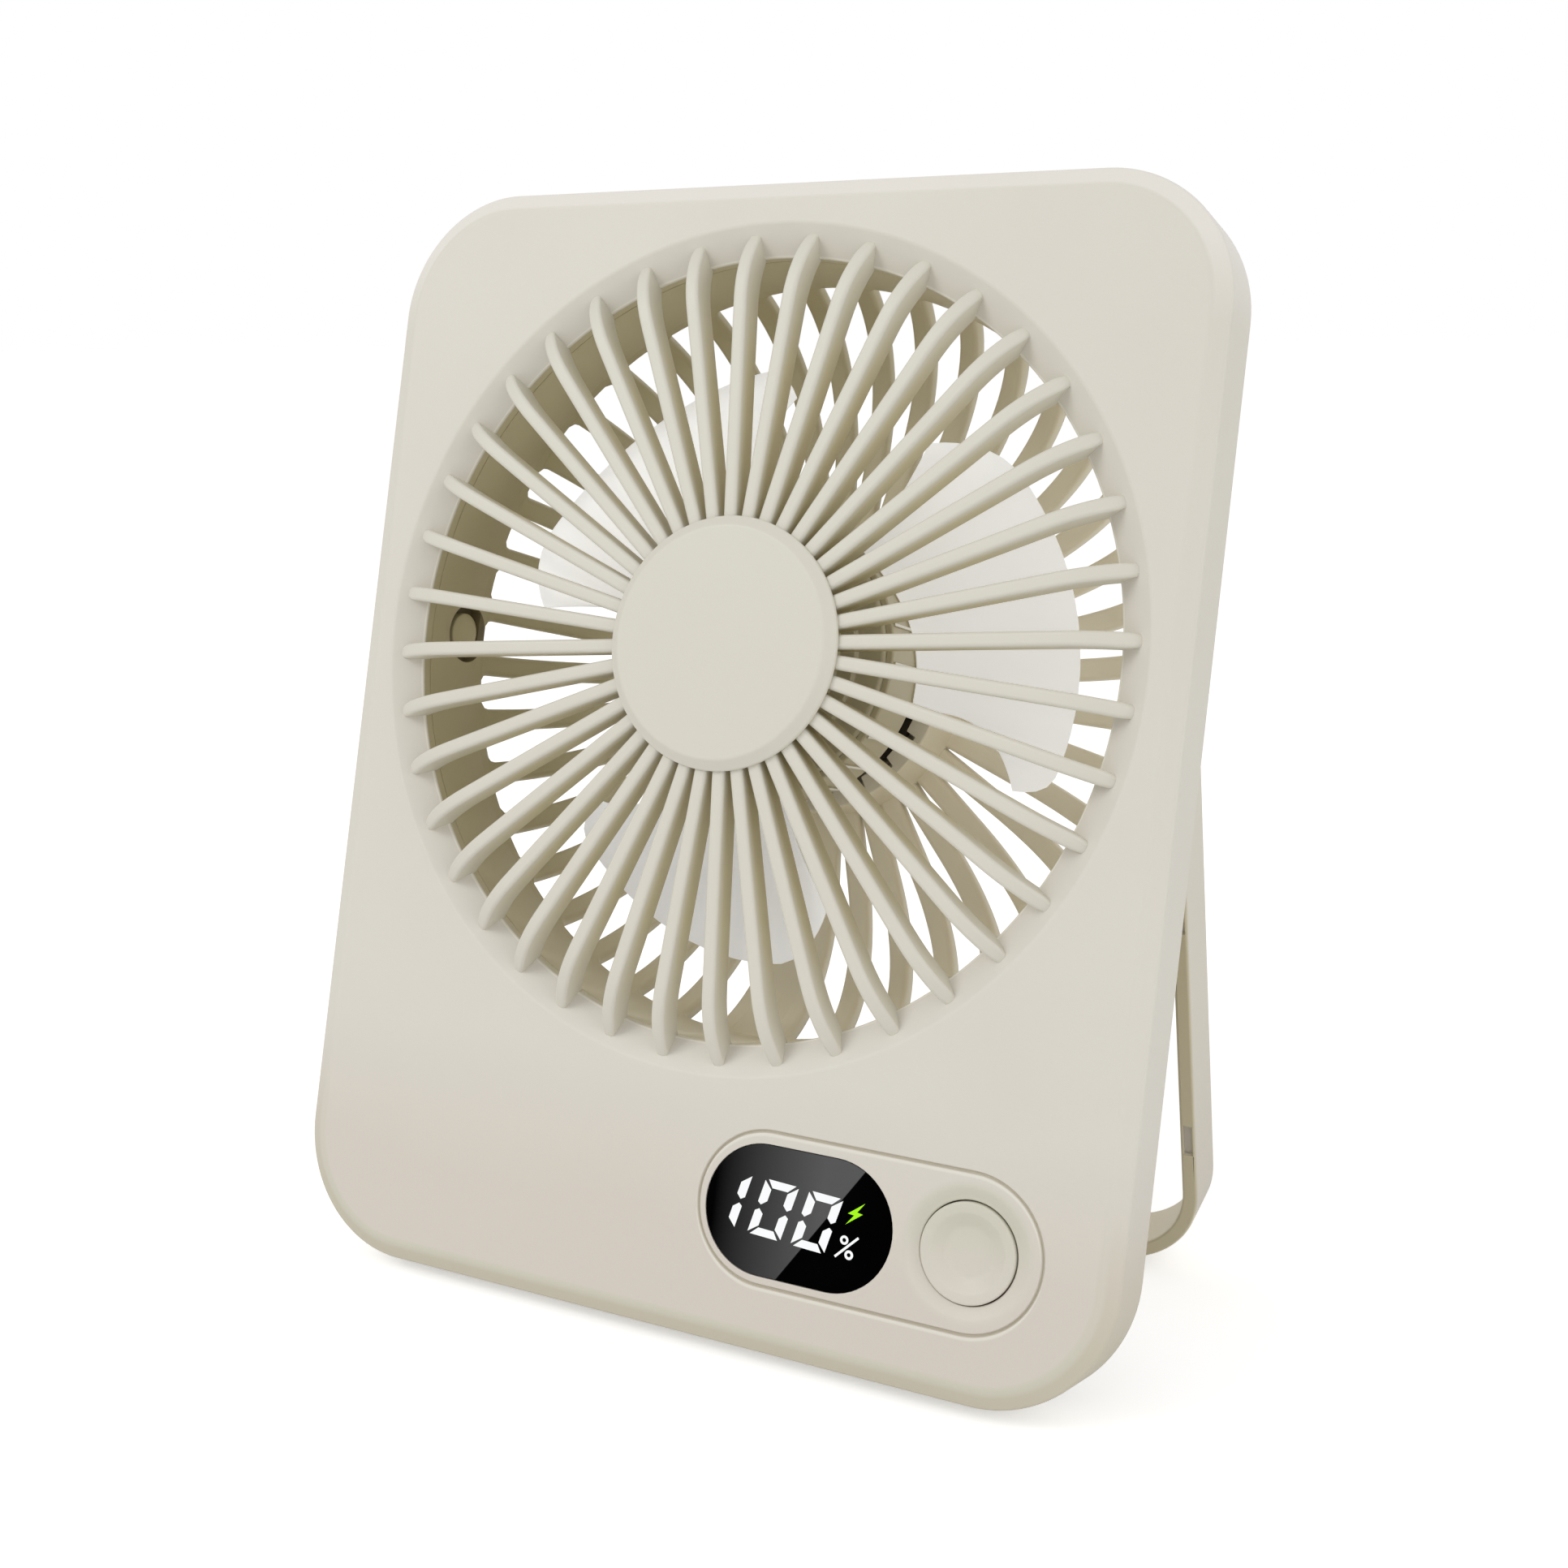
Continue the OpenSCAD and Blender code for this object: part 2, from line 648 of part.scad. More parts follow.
module rear_shell() {
  color("#d5d2c6") difference() {
    union() {
      difference() {
        slab(seat_y, rear_d) round_rect(-rear_half_w, rear_bottom, rear_half_w, rear_top, rear_r);
        slab(seat_y - 1, rear_in_d) round_rect(rear_t - rear_half_w, rear_bottom + rear_t,
          rear_half_w - rear_t, rear_top - rear_t, rear_r - rear_t);
      }
      disc(duct_out_r, seat_y, rear_d);
      bulge_solid(0);
      on_both_sides() lug(duct_r - 1.6, rear_half_w, seat_y, rear_d);
      for (p = screw_places) peg(p[0], p[1], boss_r, post_top, rear_d);
    }
    disc(duct_r, seat_y - 1, rear_d + 1);
    difference() {
      bulge_solid(bulge_t);
      slab(seat_y, rear_d + 1)
        translate([-body_w, bulge_top - bulge_t]) square([2 * body_w, body_h]);
    }
    slab(seat_y - 1, rear_in_d) translate([1 - bulge_half_w, bulge_bottom + bulge_t])
      square([2 * bulge_half_w - 2, bulge_top - bulge_bottom - 2 * bulge_t]);
    on_both_sides() pivot_peg(recess_r, 0, rear_half_w - lug_web);
    on_both_sides() pivot_peg(pin_r + run_gap, 0, rear_half_w + 1);
    for (p = screw_places) {
      peg(p[0], p[1], screw_r + 0.3, post_top - 1, rear_d + 1);
      peg(p[0], p[1], screw_head_r + 0.2, rear_d - screw_sink - screw_head_h, rear_d + 1);
    }
    translate([-bulge_half_w - 1, 0, battery_z]) rotate([90, 0, 90]) linear_extrude(bulge_t + 2)
      socket_outline(0.15);
  }
}

// section of the domed grille: a band of even thickness that follows the arc, then runs flat
module dome_section() {
  difference() {
    intersection() {
      union() {
        translate([dome_flat_r, dome_c]) circle(r = dome_arc + dome_t);
        square([dome_flat_r, dome_back]);
      }
      translate([0, rear_d]) square([rim_r, dome_back]);
    }
    translate([dome_flat_r, dome_c]) circle(r = dome_arc);
    square([dome_flat_r, plate_d]);
    square([duct_r, dome_d]);
  }
}

module rear_grille() {
  color("#d5d2c6") difference() {
    union() {
      about_axis() rotate_extrude() intersection() {
        dome_section();
        translate([0, rear_d]) square([rim_r, rim_t]);
      }
      about_axis() intersection() {
        rotate_extrude() dome_section();
        translate([0, 0, rear_d]) linear_extrude(dome_back) union() {
          for (i = [0:spoke_count - 1]) {
            rotate((i + 0.5) * 360 / spoke_count)
              translate([cup_r - 2, -spoke_w / 2]) square([rim_r - cup_r + 2, spoke_w]);
          }
          rotate(90) translate([cup_r - 2, -channel_w / 2]) square([rim_r - cup_r + 2, channel_w]);
        }
      }
      disc(cup_r, plate_d, dome_back);
      difference() {
        disc(cup_r, cup_front_d, plate_d);
        disc(cup_r - cup_t, cup_front_d - 1, plate_d);
        about_axis() for (i = [0:cup_slots - 1]) {
          rotate(i * 360 / cup_slots) translate([cup_r - cup_t - 1, -cup_slot_w / 2, cup_front_d - 1])
            cube([cup_t - 0.2, cup_slot_w, cup_slot_d + 1]);
        }
      }
      on_both_sides() difference() {
        lug(duct_r - 2.2, rear_half_w, rear_d, pivot_d + lug_r);
        about_axis() rotate_extrude() {
          square([duct_r, dome_d]);
          translate([dome_flat_r, dome_c]) circle(r = dome_arc);
        }
      }
    }
    on_both_sides() pivot_peg(recess_r, 0, rear_half_w - lug_web);
    disc(tube_r - 1.2, plate_d - 1, plate_d + 0.8);
    for (a = [0:120:359]) {
      about_axis() rotate(a) translate([motor_screw_pcr, 0, plate_d - 1])
        cylinder(r = motor_screw_r + fit_gap, h = 1 + dome_t - 0.5);
    }
  }
}

module shell_screws() {
  head_d = rear_d - screw_sink - screw_head_h;
  color("#6f7276") for (p = screw_places) {
    difference() {
      union() {
        peg(p[0], p[1], screw_r, wall_y + 1, head_d);
        peg(p[0], p[1], screw_head_r, head_d, head_d + screw_head_h);
      }
      for (a = [0, 90]) {
        translate([p[0], head_d + screw_head_h, p[1]]) rotate([0, a, 0]) cube([2.4, 1.2, 0.5], center = true);
      }
    }
  }
}

module battery_pack() {
  x0 = battery_x1 - battery_len;
  color("#2f6db0") intersection() {
    slab(battery_back - battery_t, battery_back)
      round_rect(x0, battery_z - battery_h / 2, battery_x1, battery_z + battery_h / 2, 2);
    translate([x0, 0, 0]) rotate([90, 0, 90]) linear_extrude(battery_len)
      round_rect(battery_back - battery_t, battery_z - battery_h / 2, battery_back, battery_z + battery_h / 2, 3);
  }
}

module battery_pads() {
  color("#3b3c3e") for (x = [battery_x1 - battery_len + pad_w / 2, battery_x1 - 1.5 * pad_w]) {
    slab(battery_back, battery_back + battery_gap)
      translate([x, battery_z - pad_w / 2]) square([pad_w, pad_w]);
  }
}

// outline of the charging socket in depth and height, grown by g all round
module socket_outline(g) {
  h = socket_h + 2 * g;
  w = socket_w + 2 * g;
  translate([socket_d - h / 2, -(w - h) / 2]) square([h, w - h]);
  for (s = [-1, 1]) translate([socket_d, s * (w - h) / 2]) circle(d = h);
}

module charging_board() {
  x0 = bulge_half_w - bulge_t - 0.2;
  color("#1f6b3a") translate([-x0, socket_d + socket_h / 2, battery_z - charging_board_w / 2])
    cube([charging_board_len, board_t, charging_board_w]);
}

module charging_socket() {
  color("#c3c5c8") difference() {
    translate([-bulge_half_w, 0, battery_z]) rotate([90, 0, 90]) linear_extrude(socket_len) socket_outline(0);
    translate([-bulge_half_w - 1, 0, battery_z]) rotate([90, 0, 90])
      linear_extrude(socket_len - socket_back + 1) socket_outline(-socket_t);
  }
}

module socket_tongue() {
  mouth = 0.8;
  color("#151516") translate([mouth - bulge_half_w, socket_d - 0.35, battery_z - socket_w / 2 + 1.2])
    cube([socket_len - socket_back - mouth, 0.7, socket_w - 2.4]);
}

module motor_board() {
  color("#17181a") difference() {
    disc(motor_board_r, plate_d - 2.4, plate_d - 1.4);
    disc(tube_r + fit_gap, plate_d - 3, plate_d);
    for (a = [0:120:359]) {
      about_axis() rotate(a) translate([motor_screw_pcr, 0, plate_d - 3]) cylinder(r = motor_screw_r + 0.2, h = 3);
    }
  }
  color("#d5d2c6") difference() {
    for (a = [0:120:359]) {
      about_axis() rotate(a) translate([motor_screw_pcr, 0, plate_d - 1.4]) cylinder(r = 1.8, h = 1.4);
    }
    for (a = [0:120:359]) {
      about_axis() rotate(a) translate([motor_screw_pcr, 0, plate_d - 3]) cylinder(r = motor_screw_r + 0.2, h = 4);
    }
  }
}

module motor_screws() {
  color("#b9bbbe") for (a = [0:120:359]) {
    about_axis() rotate(a) translate([motor_screw_pcr, 0, 0]) {
      translate([0, 0, plate_d - 2.4]) cylinder(r = motor_screw_r, h = 2.4 + dome_t - 0.8);
      translate([0, 0, plate_d - 3.2]) cylinder(r = 1.5, h = 0.8);
    }
  }
}

module bearing_tube() {
  color("#c9a45c") difference() {
    union() {
      disc(tube_r, tube_front_d, plate_d);
      disc(tube_r - 1.2 - fit_gap, plate_d - 1, plate_d + 0.75);
    }
    disc(bearing_r + fit_gap, tube_front_d - 1, plate_d - 2);
    disc(shaft_r + 0.4, tube_front_d, plate_d - 0.6);
  }
}

module bearings() {
  color("#a9acb0") for (d = [tube_front_d, plate_d - 2 - bearing_w]) {
    difference() {
      disc(bearing_r, d, d + bearing_w);
      disc(shaft_r + run_gap, d - 1, d + bearing_w + 1);
    }
  }
}

module stator_core() {
  color("#4a4d50") difference() {
    union() {
      disc(tube_r + 2, stator_front_d, stator_front_d + stator_len);
      about_axis() translate([0, 0, stator_front_d]) linear_extrude(stator_len) {
        for (i = [0:pole_count - 1]) {
          rotate(i * 360 / pole_count) translate([tube_r + 1, -0.8]) square([stator_r - tube_r - 1.6, 1.6]);
        }
        intersection() {
          difference() {
            circle(r = stator_r);
            circle(r = stator_r - 1.2);
          }
          for (i = [0:pole_count - 1]) {
            rotate(i * 360 / pole_count) translate([0, -3]) square([stator_r, 6]);
          }
        }
      }
    }
    disc(tube_r + fit_gap, stator_front_d - 1, stator_front_d + stator_len + 1);
  }
}

module stator_windings() {
  x0 = tube_r + 2.2;
  x1 = stator_r - 1.4;
  color("#b5672f") about_axis() for (i = [0:pole_count - 1]) {
    rotate(i * 360 / pole_count) difference() {
      translate([x0, -1.7, stator_front_d - 0.8]) cube([x1 - x0, 3.4, stator_len + 1.6]);
      translate([x0 - 1, -0.85, stator_front_d - 0.05]) cube([x1 - x0 + 2, 1.7, stator_len + 0.1]);
    }
  }
}

module motor_shaft() {
  color("#b4b7ba") disc(shaft_r, rotor_front_d, plate_d - 0.9);
}

module rotor_cup() {
  color("#8d9094") difference() {
    disc(rotor_r, rotor_front_d, rotor_front_d + rotor_len);
    disc(rotor_r - rotor_t, rotor_front_d + rotor_t, rotor_front_d + rotor_len + 1);
    disc(shaft_r, rotor_front_d - 1, rotor_front_d + rotor_t + 1);
  }
}

module magnet_ring() {
  r = rotor_r - rotor_t - fit_gap;
  color("#2b2b2d") difference() {
    disc(r, rotor_front_d + rotor_t, rotor_front_d + rotor_len - 0.6);
    disc(r - magnet_t, rotor_front_d, rotor_front_d + rotor_len);
  }
}

module impeller_hub() {
  inner_r = rotor_r + fit_gap;
  color("#cfcabb") difference() {
    union() {
      disc(hub_r, hub_front_d + hub_step_h, hub_back_d);
      disc(hub_step_r, hub_front_d, hub_front_d + hub_step_h + 0.5);
    }
    disc(inner_r, rotor_front_d, hub_back_d + 1);
    disc(inner_r - 1, hub_front_d + hub_step_h + hub_t, hub_back_d);
    disc(2.4, hub_front_d - 1, hub_front_d + 0.5);
  }
}

// blade surface: s runs from the root to the tip, t from the leading to the trailing edge
function blade_end(t) = blade_r - 4 * pow(max(0, 1 - t / 0.12), 2.2) - 7 * pow(max(0, (t - 0.84) / 0.16), 2);
function blade_radius(s, t) = hub_r + 0.2 + s * (blade_end(t) - hub_r - 0.2);
function blade_start(s) = blade_lead + blade_rise * sin(180 * s) - blade_sweep * pow(s, 2.6);
function blade_angle(s, t) = blade_start(s) + t * (blade_root_span + s * (blade_tip_span - blade_root_span));
function blade_depth(s, t) = blade_lead_d + t * (blade_trail_d - blade_lead_d)
  + blade_camber * sin(180 * t) * (0.5 + 0.5 * s) - 0.8 * (1 - s) * (1 - t);
function blade_edge(t) = 0.35 + 0.65 * pow(sin(180 * t), 0.5);
function blade_point(s, t, side) =
  let (r = blade_radius(s, t), a = -blade_angle(s, t), h = side * blade_t / 2 * blade_edge(t) * (1.3 - 0.4 * s))
  [r * cos(a), r * sin(a), blade_depth(s, t) + h];

module blade() {
  ns = 6;
  nt = 16;
  row = nt + 1;
  side = row * (ns + 1);
  points = [for (k = [-1, 1]) for (i = [0:ns]) for (j = [0:nt]) blade_point(i / ns, j / nt, k)];
  front = [for (i = [0:ns - 1]) for (j = [0:nt - 1]) let (a = i * row + j)
    each [[a, a + 1, a + row], [a + 1, a + row + 1, a + row]]];
  back = [for (f = front) [f[2] + side, f[1] + side, f[0] + side]];
  ring = concat([for (j = [0:nt]) j], [for (i = [1:ns]) i * row + nt],
    [for (j = [nt - 1:-1:0]) ns * row + j], [for (i = [ns - 1:-1:1]) i * row]);
  n = len(ring);
  rim = [for (k = [0:n - 1]) let (a = ring[k], b = ring[(k + 1) % n])
    each [[b, a, a + side], [b, a + side, b + side]]];
  polyhedron(points, concat(front, back, rim));
}

module impeller_blades() {
  color("#e8e7e3") union() {
    difference() {
      disc(sleeve_r, hub_front_d + 1, hub_back_d - 0.4);
      disc(hub_r + fit_gap, hub_front_d, hub_back_d);
    }
    about_axis() for (i = [0:blade_count - 1]) rotate(i * 360 / blade_count) blade();
  }
}

// the stand as it lies folded round the rear shell
module stand_outline(in) {
  w = stand_half_w - in;
  z0 = pivot_z - stand_reach + in;
  r = stand_r - in;
  translate([r - w, z0]) square([2 * (w - r), r]);
  translate([-w, z0 + r]) square([2 * w, pivot_z - z0 - r]);
  for (s = [-1, 1]) translate([s * (w - r), z0 + r]) circle(r = r);
}

module opened() {
  translate([0, pivot_d, pivot_z]) rotate([open_angle, 0, 0]) translate([0, -pivot_d, -pivot_z]) children();
}

module stand() {
  z0 = pivot_z - stand_reach;
  d0 = pivot_d - band_w / 2;
  color("#d0ccbf") opened() difference() {
    union() {
      difference() {
        slab(d0, d0 + band_w) stand_outline(0);
        slab(d0 - 1, d0 + band_w + 1) {
          stand_outline(stand_t);
          translate([-stand_in_w, pivot_z - 1]) square([2 * stand_in_w, 2]);
        }
      }
      on_both_sides() pivot_peg(band_w / 2, stand_in_w, stand_half_w);
    }
    on_both_sides() pivot_peg(pin_r, 0, stand_half_w + 1);
    on_both_sides() for (h = notch_z) {
      translate([stand_in_w + 0.4, d0 - 1, z0 + h]) cube([notch_w, notch_d + 1, notch_len]);
    }
    translate([-strip_len / 2, pivot_d - strip_w / 2, z0 - 1]) cube([strip_len, strip_w, strip_d + 1]);
  }
}

module hinge_pins() {
  head_x = rear_half_w - lug_web - 0.05;
  color("#c6c1b2") opened() on_both_sides() {
    pivot_peg(pin_r, head_x - 0.1, stand_half_w);
    pivot_peg(pin_head_r, head_x - pin_head_h, head_x);
    pivot_peg(1.3 * pin_r, stand_half_w, stand_half_w + 0.5 * stand_gap);
  }
}

module hinge_washers() {
  color("#8e9093") on_both_sides() difference() {
    pivot_peg(1.7 * pin_r, rear_half_w, stand_in_w - washer_gap);
    pivot_peg(pin_r + run_gap, rear_half_w - 1, stand_in_w + 1);
  }
}

module stand_strip() {
  z0 = pivot_z - stand_reach;
  color("#55534c") opened() translate([-strip_len / 2, pivot_d - strip_w / 2, z0]) cube([strip_len, strip_w, strip_d]);
}

body_frame() front_shell();
body_frame() front_grille();
body_frame() centre_cap();
body_frame() display_window();
body_frame() display_module();
body_frame() power_button();
body_frame() switch_plunger();
body_frame() switch_housing();
body_frame() control_board();
body_frame() board_screws();
body_frame() rear_shell();
body_frame() rear_grille();
body_frame() shell_screws();
body_frame() battery_pack();
body_frame() battery_pads();
body_frame() charging_board();
body_frame() charging_socket();
body_frame() socket_tongue();
body_frame() motor_board();
body_frame() motor_screws();
body_frame() bearing_tube();
body_frame() bearings();
body_frame() stator_core();
body_frame() stator_windings();
body_frame() motor_shaft();
body_frame() rotor_cup();
body_frame() magnet_ring();
body_frame() impeller_hub();
body_frame() impeller_blades();
body_frame() stand();
body_frame() hinge_pins();
body_frame() hinge_washers();
body_frame() stand_strip();
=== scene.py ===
import json
import math

import bmesh
import bpy
from mathutils import Matrix, Vector
from mathutils.geometry import tessellate_polygon


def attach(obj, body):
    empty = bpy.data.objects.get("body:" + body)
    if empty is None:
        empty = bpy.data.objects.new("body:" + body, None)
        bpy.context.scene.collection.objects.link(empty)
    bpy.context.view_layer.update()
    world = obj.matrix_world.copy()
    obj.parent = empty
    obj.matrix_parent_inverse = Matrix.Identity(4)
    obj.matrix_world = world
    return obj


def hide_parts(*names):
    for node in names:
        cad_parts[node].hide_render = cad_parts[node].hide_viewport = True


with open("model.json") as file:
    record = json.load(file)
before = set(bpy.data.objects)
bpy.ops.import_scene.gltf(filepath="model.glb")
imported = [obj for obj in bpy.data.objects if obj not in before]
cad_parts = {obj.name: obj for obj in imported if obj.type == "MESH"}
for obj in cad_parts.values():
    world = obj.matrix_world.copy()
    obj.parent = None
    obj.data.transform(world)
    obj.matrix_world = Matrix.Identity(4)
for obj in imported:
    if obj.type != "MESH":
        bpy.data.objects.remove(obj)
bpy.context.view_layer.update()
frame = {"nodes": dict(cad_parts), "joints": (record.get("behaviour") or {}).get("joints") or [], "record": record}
scene = bpy.context.scene
print("frame loaded:", len(frame["nodes"]), "nodes")

# the fan's main sizes, in millimetres, in its own upright coordinates:
# x to the right, y rearwards from the front edge of the side wall, z up
fan = {
    "width": 112, "height": 139, "corner": 16, "lean": 15.5,
    "axisHeight": 82.35, "pivotDepth": 10, "standOpen": 28.2749,
    "frontDepth": -0.9, "wallDepth": 1.3, "seatDepth": 2.5, "skirtDepth": 7.7,
    "ductRadius": 47.7, "openingRadius": 52, "funnelDepth": 1,
}
axisZ = fan["axisHeight"]
front = fan["frontDepth"]

# the leaning frame is hung on the stand's pivot
pivotPlace = Vector([j for j in frame["joints"] if j["name"] == "stand_fold"][0]["pos_m"])
leaning = Matrix.Rotation(-math.radians(fan["lean"]), 4, "X") @ Matrix.Scale(0.001, 4)
pivotOffset = pivotPlace - leaning @ Vector((0, fan["pivotDepth"], axisZ))
bodyFrame = Matrix.Translation(pivotOffset) @ leaning
# here z is the depth and angles run clockwise seen from the front
axisFrame = bodyFrame @ Matrix.Translation((0, 0, axisZ)) @ Matrix.Rotation(-math.pi / 2, 4, "X")
# the body's frame, turned with the stand to where it is opened
pivotPoint = Matrix.Translation((0, fan["pivotDepth"], axisZ))
opening = Matrix.Rotation(math.radians(fan["standOpen"]), 4, "X")
openedFrame = bodyFrame @ pivotPoint @ opening @ pivotPoint.inverted()


def direction(place, x, y, z):
    return (place.to_3x3() @ Vector((x, y, z))).normalized()


depthWay = direction(axisFrame, 0, 0, 1)
standWay = direction(openedFrame, 0, 1, 0)
standDown = direction(openedFrame, 0, 0, -1)
rightWay = direction(bodyFrame, 1, 0, 0)
upWay = direction(bodyFrame, 0, 0, 1)
bodyMiddle = bodyFrame @ Vector((0, 0, fan["height"] / 2))


class Form:
    def __init__(self):
        self.points = []
        self.faces = []

    def ring(self, points):
        first = len(self.points)
        self.points.extend(points)
        return list(range(first, len(self.points)))

    def bridge(self, ringA, ringB, closed=True):
        # a ring of one point makes a fan of triangles
        count = max(len(ringA), len(ringB))
        for i in range(count if closed else count - 1):
            j = (i + 1) % count
            sideA = [ringA[i], ringA[j]] if len(ringA) > 1 else [ringA[0]]
            sideB = [ringB[j], ringB[i]] if len(ringB) > 1 else [ringB[0]]
            self.faces.append(sideA + sideB)

    def bridgeAll(self, rings, closed=True):
        for a, b in zip(rings, rings[1:]):
            self.bridge(a, b, closed)

    def fill(self, outline, holes=()):
        loops = [outline] + list(holes)
        flat = [i for loop in loops for i in loop]
        corners = [[Vector(self.points[i]) for i in loop] for loop in loops]
        for triangle in tessellate_polygon(corners):
            self.faces.append([flat[k] for k in triangle])

    def close(self, rings):
        # a bar: its rings bridged, with a flat face at either end
        self.bridgeAll(rings)
        self.faces += [list(rings[0]), list(rings[-1])]


def soften(corners, steps=5, closed=False):
    # each corner is (a, b) or (a, b, radius), and those with a radius become arcs
    found = []
    count = len(corners)
    for i, corner in enumerate(corners):
        here = Vector(corner[:2])
        radius = corner[2] if len(corner) > 2 else 0
        if not radius or (not closed and i in (0, count - 1)):
            found.append(tuple(here))
            continue
        before = Vector(corners[i - 1][:2]) - here
        after = Vector(corners[(i + 1) % count][:2]) - here
        half = before.angle(after) / 2
        reach = min(radius / math.tan(half), before.length * 0.49, after.length * 0.49)
        radius = reach * math.tan(half)
        inwards = (before.normalized() + after.normalized()).normalized()
        middle = here + inwards * radius / math.sin(half)
        start = here + before.normalized() * reach - middle
        end = here + after.normalized() * reach - middle
        sweepAngle = start.angle(end)
        for k in range(steps + 1):
            turn = k / steps * sweepAngle
            spoke = start * math.sin(sweepAngle - turn) + end * math.sin(turn)
            found.append(tuple(middle + spoke / math.sin(sweepAngle)))
    return found


def arcOutline(x, z, radius, first, last, steps):
    # an outline's points carry their outward direction: (x, z, outwards in x, outwards in z)
    turns = [math.radians(first + (last - first) * k / steps) for k in range(steps + 1)]
    return [(x + radius * math.cos(a), z + radius * math.sin(a), math.cos(a), math.sin(a)) for a in turns]


def rectOutline(x0, z0, x1, z1, radius, steps=16):
    left, right, low, high = x0 + radius, x1 - radius, z0 + radius, z1 - radius
    corners = ((right, high, 0), (left, high, 90), (left, low, 180), (right, low, 270))
    return [point for x, z, first in corners for point in arcOutline(x, z, radius, first, first + 90, steps)]


def pillOutline(x, z, length, height, steps=28):
    run = (length - height) / 2
    return (arcOutline(x + run, z, height / 2, -90, 90, steps)
            + arcOutline(x - run, z, height / 2, 90, 270, steps))


def roundedLoop(halfA, halfB, corner, steps=3):
    # the cross-section of a bar, (a, b) round its middle
    corner = min(corner, halfA * 0.95, halfB * 0.95)
    found = []
    for sideA, sideB, first in ((1, 1, 0), (-1, 1, 90), (-1, -1, 180), (1, -1, 270)):
        for k in range(steps + 1):
            a = math.radians(first + 90 * k / steps)
            found.append((sideA * (halfA - corner) + corner * math.cos(a),
                          sideB * (halfB - corner) + corner * math.sin(a)))
    return found


def sweep(form, outline, profile):
    # profile points are (distance outwards from the outline, depth)
    rings = [form.ring([(x + nx * out, depth, z + nz * out) for x, z, nx, nz in outline])
             for out, depth in profile]
    form.bridgeAll(rings)
    return rings[0], rings[-1]


def turned(form, profile, x=0.0, z=axisZ, steps=96):
    # profile points are (radius, depth), and a radius of nought is a pole
    turns = [2 * math.pi * k / steps for k in range(steps)]
    rings = [form.ring([(x + radius * math.cos(a), depth, z + radius * math.sin(a))
                        for a in (turns if radius else [0])]) for radius, depth in profile]
    form.bridgeAll(rings)
    return rings


def merged(mesh, distance=2e-6, flat=None):
    # flat: edges with less than this angle between their faces are dissolved
    work = bmesh.new()
    work.from_mesh(mesh)
    bmesh.ops.remove_doubles(work, verts=work.verts, dist=distance)
    bmesh.ops.recalc_face_normals(work, faces=work.faces)
    if flat:
        bmesh.ops.dissolve_limit(work, angle_limit=math.radians(flat), verts=work.verts, edges=work.edges)
    work.to_mesh(mesh)
    work.free()


def smooth(mesh, crease):
    mesh.shade_smooth()
    mesh.set_sharp_from_angle(angle=math.radians(crease))


def meshOf(name, form, place=bodyFrame, crease=32):
    mesh = bpy.data.meshes.new(name)
    mesh.from_pydata([place @ Vector(p) for p in form.points], [], form.faces)
    merged(mesh)
    smooth(mesh, crease)
    return mesh


def linked(name, data):
    made = bpy.data.objects.new(name, data)
    scene.collection.objects.link(made)
    return made


def settled(piece):
    # the evaluated shape becomes the piece's own plain mesh
    mesh = bpy.data.meshes.new_from_object(piece.evaluated_get(bpy.context.evaluated_depsgraph_get()))
    piece.modifiers.clear()
    old = piece.data
    piece.data = mesh
    bpy.data.meshes.remove(old)


def finished(piece, finish, level=True):
    piece.data.materials.clear()
    piece.data.materials.append(finish)
    if level:
        piece.modifiers.new("level", "WEIGHTED_NORMAL").keep_sharp = True
        settled(piece)
    return piece


def pieceOf(name, form, finish, place=bodyFrame, crease=32, level=True):
    return finished(linked(name, meshOf(name, form, place, crease)), finish, level)


def turnedPiece(name, corners, finish, steps=128):
    form = Form()
    turned(form, soften(corners), steps=steps)
    return pieceOf(name, form, finish)


def joined(name, pieces):
    form = bmesh.new()
    for piece in pieces:
        form.from_mesh(piece.data)
    mesh = pieces[0].data.copy()
    form.to_mesh(mesh)
    form.free()
    for piece in pieces:
        bpy.data.objects.remove(piece)
    return linked(name, mesh)


def rides(piece, body, slotName, *nodes):
    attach(piece, body)
    if nodes:
        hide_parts(*nodes)


class Wire:
    def __init__(self, bench, socket):
        self.bench = bench
        self.socket = socket

    def __add__(self, other):
        return self.bench.maths("ADD", self, other)

    def __radd__(self, other):
        return self.bench.maths("ADD", other, self)

    def __sub__(self, other):
        return self.bench.maths("SUBTRACT", self, other)

    def __rsub__(self, other):
        return self.bench.maths("SUBTRACT", other, self)

    def __mul__(self, other):
        return self.bench.maths("MULTIPLY", self, other)

    def __truediv__(self, other):
        return self.bench.maths("DIVIDE", self, other)

    def __pow__(self, other):
        return self.bench.maths("POWER", self, other)

    def limited(self):
        return self.bench.maths("ADD", self, 0.0, True)

    def atLeast(self, other):
        return self.bench.maths("MAXIMUM", self, other)

    def size(self):
        return self.bench.maths("ABSOLUTE", self, 0.0)

    def above(self, edge, over):
        # from 0 at the edge to 1 at a distance above it
        return ((self - edge) / over).limited()

    def under(self, edge, over):
        return ((edge - self) / over).limited()


class Bench:
    def __init__(self, tree):
        self.tree = tree

    def feed(self, socket, value):
        if isinstance(value, Wire):
            self.tree.links.new(value.socket, socket)
        else:
            socket.default_value = value

    def node(self, kind, settings=None, sockets=None, out=0):
        made = self.tree.nodes.new(kind)
        for name, value in (settings or {}).items():
            setattr(made, name, value)
        for name, value in (sockets or {}).items():
            self.feed(made.inputs[name], value)
        return Wire(self, made.outputs[out])

    def maths(self, operation, a, b, clamp=False):
        return self.node("ShaderNodeMath", {"operation": operation, "use_clamp": clamp}, {0: a, 1: b})


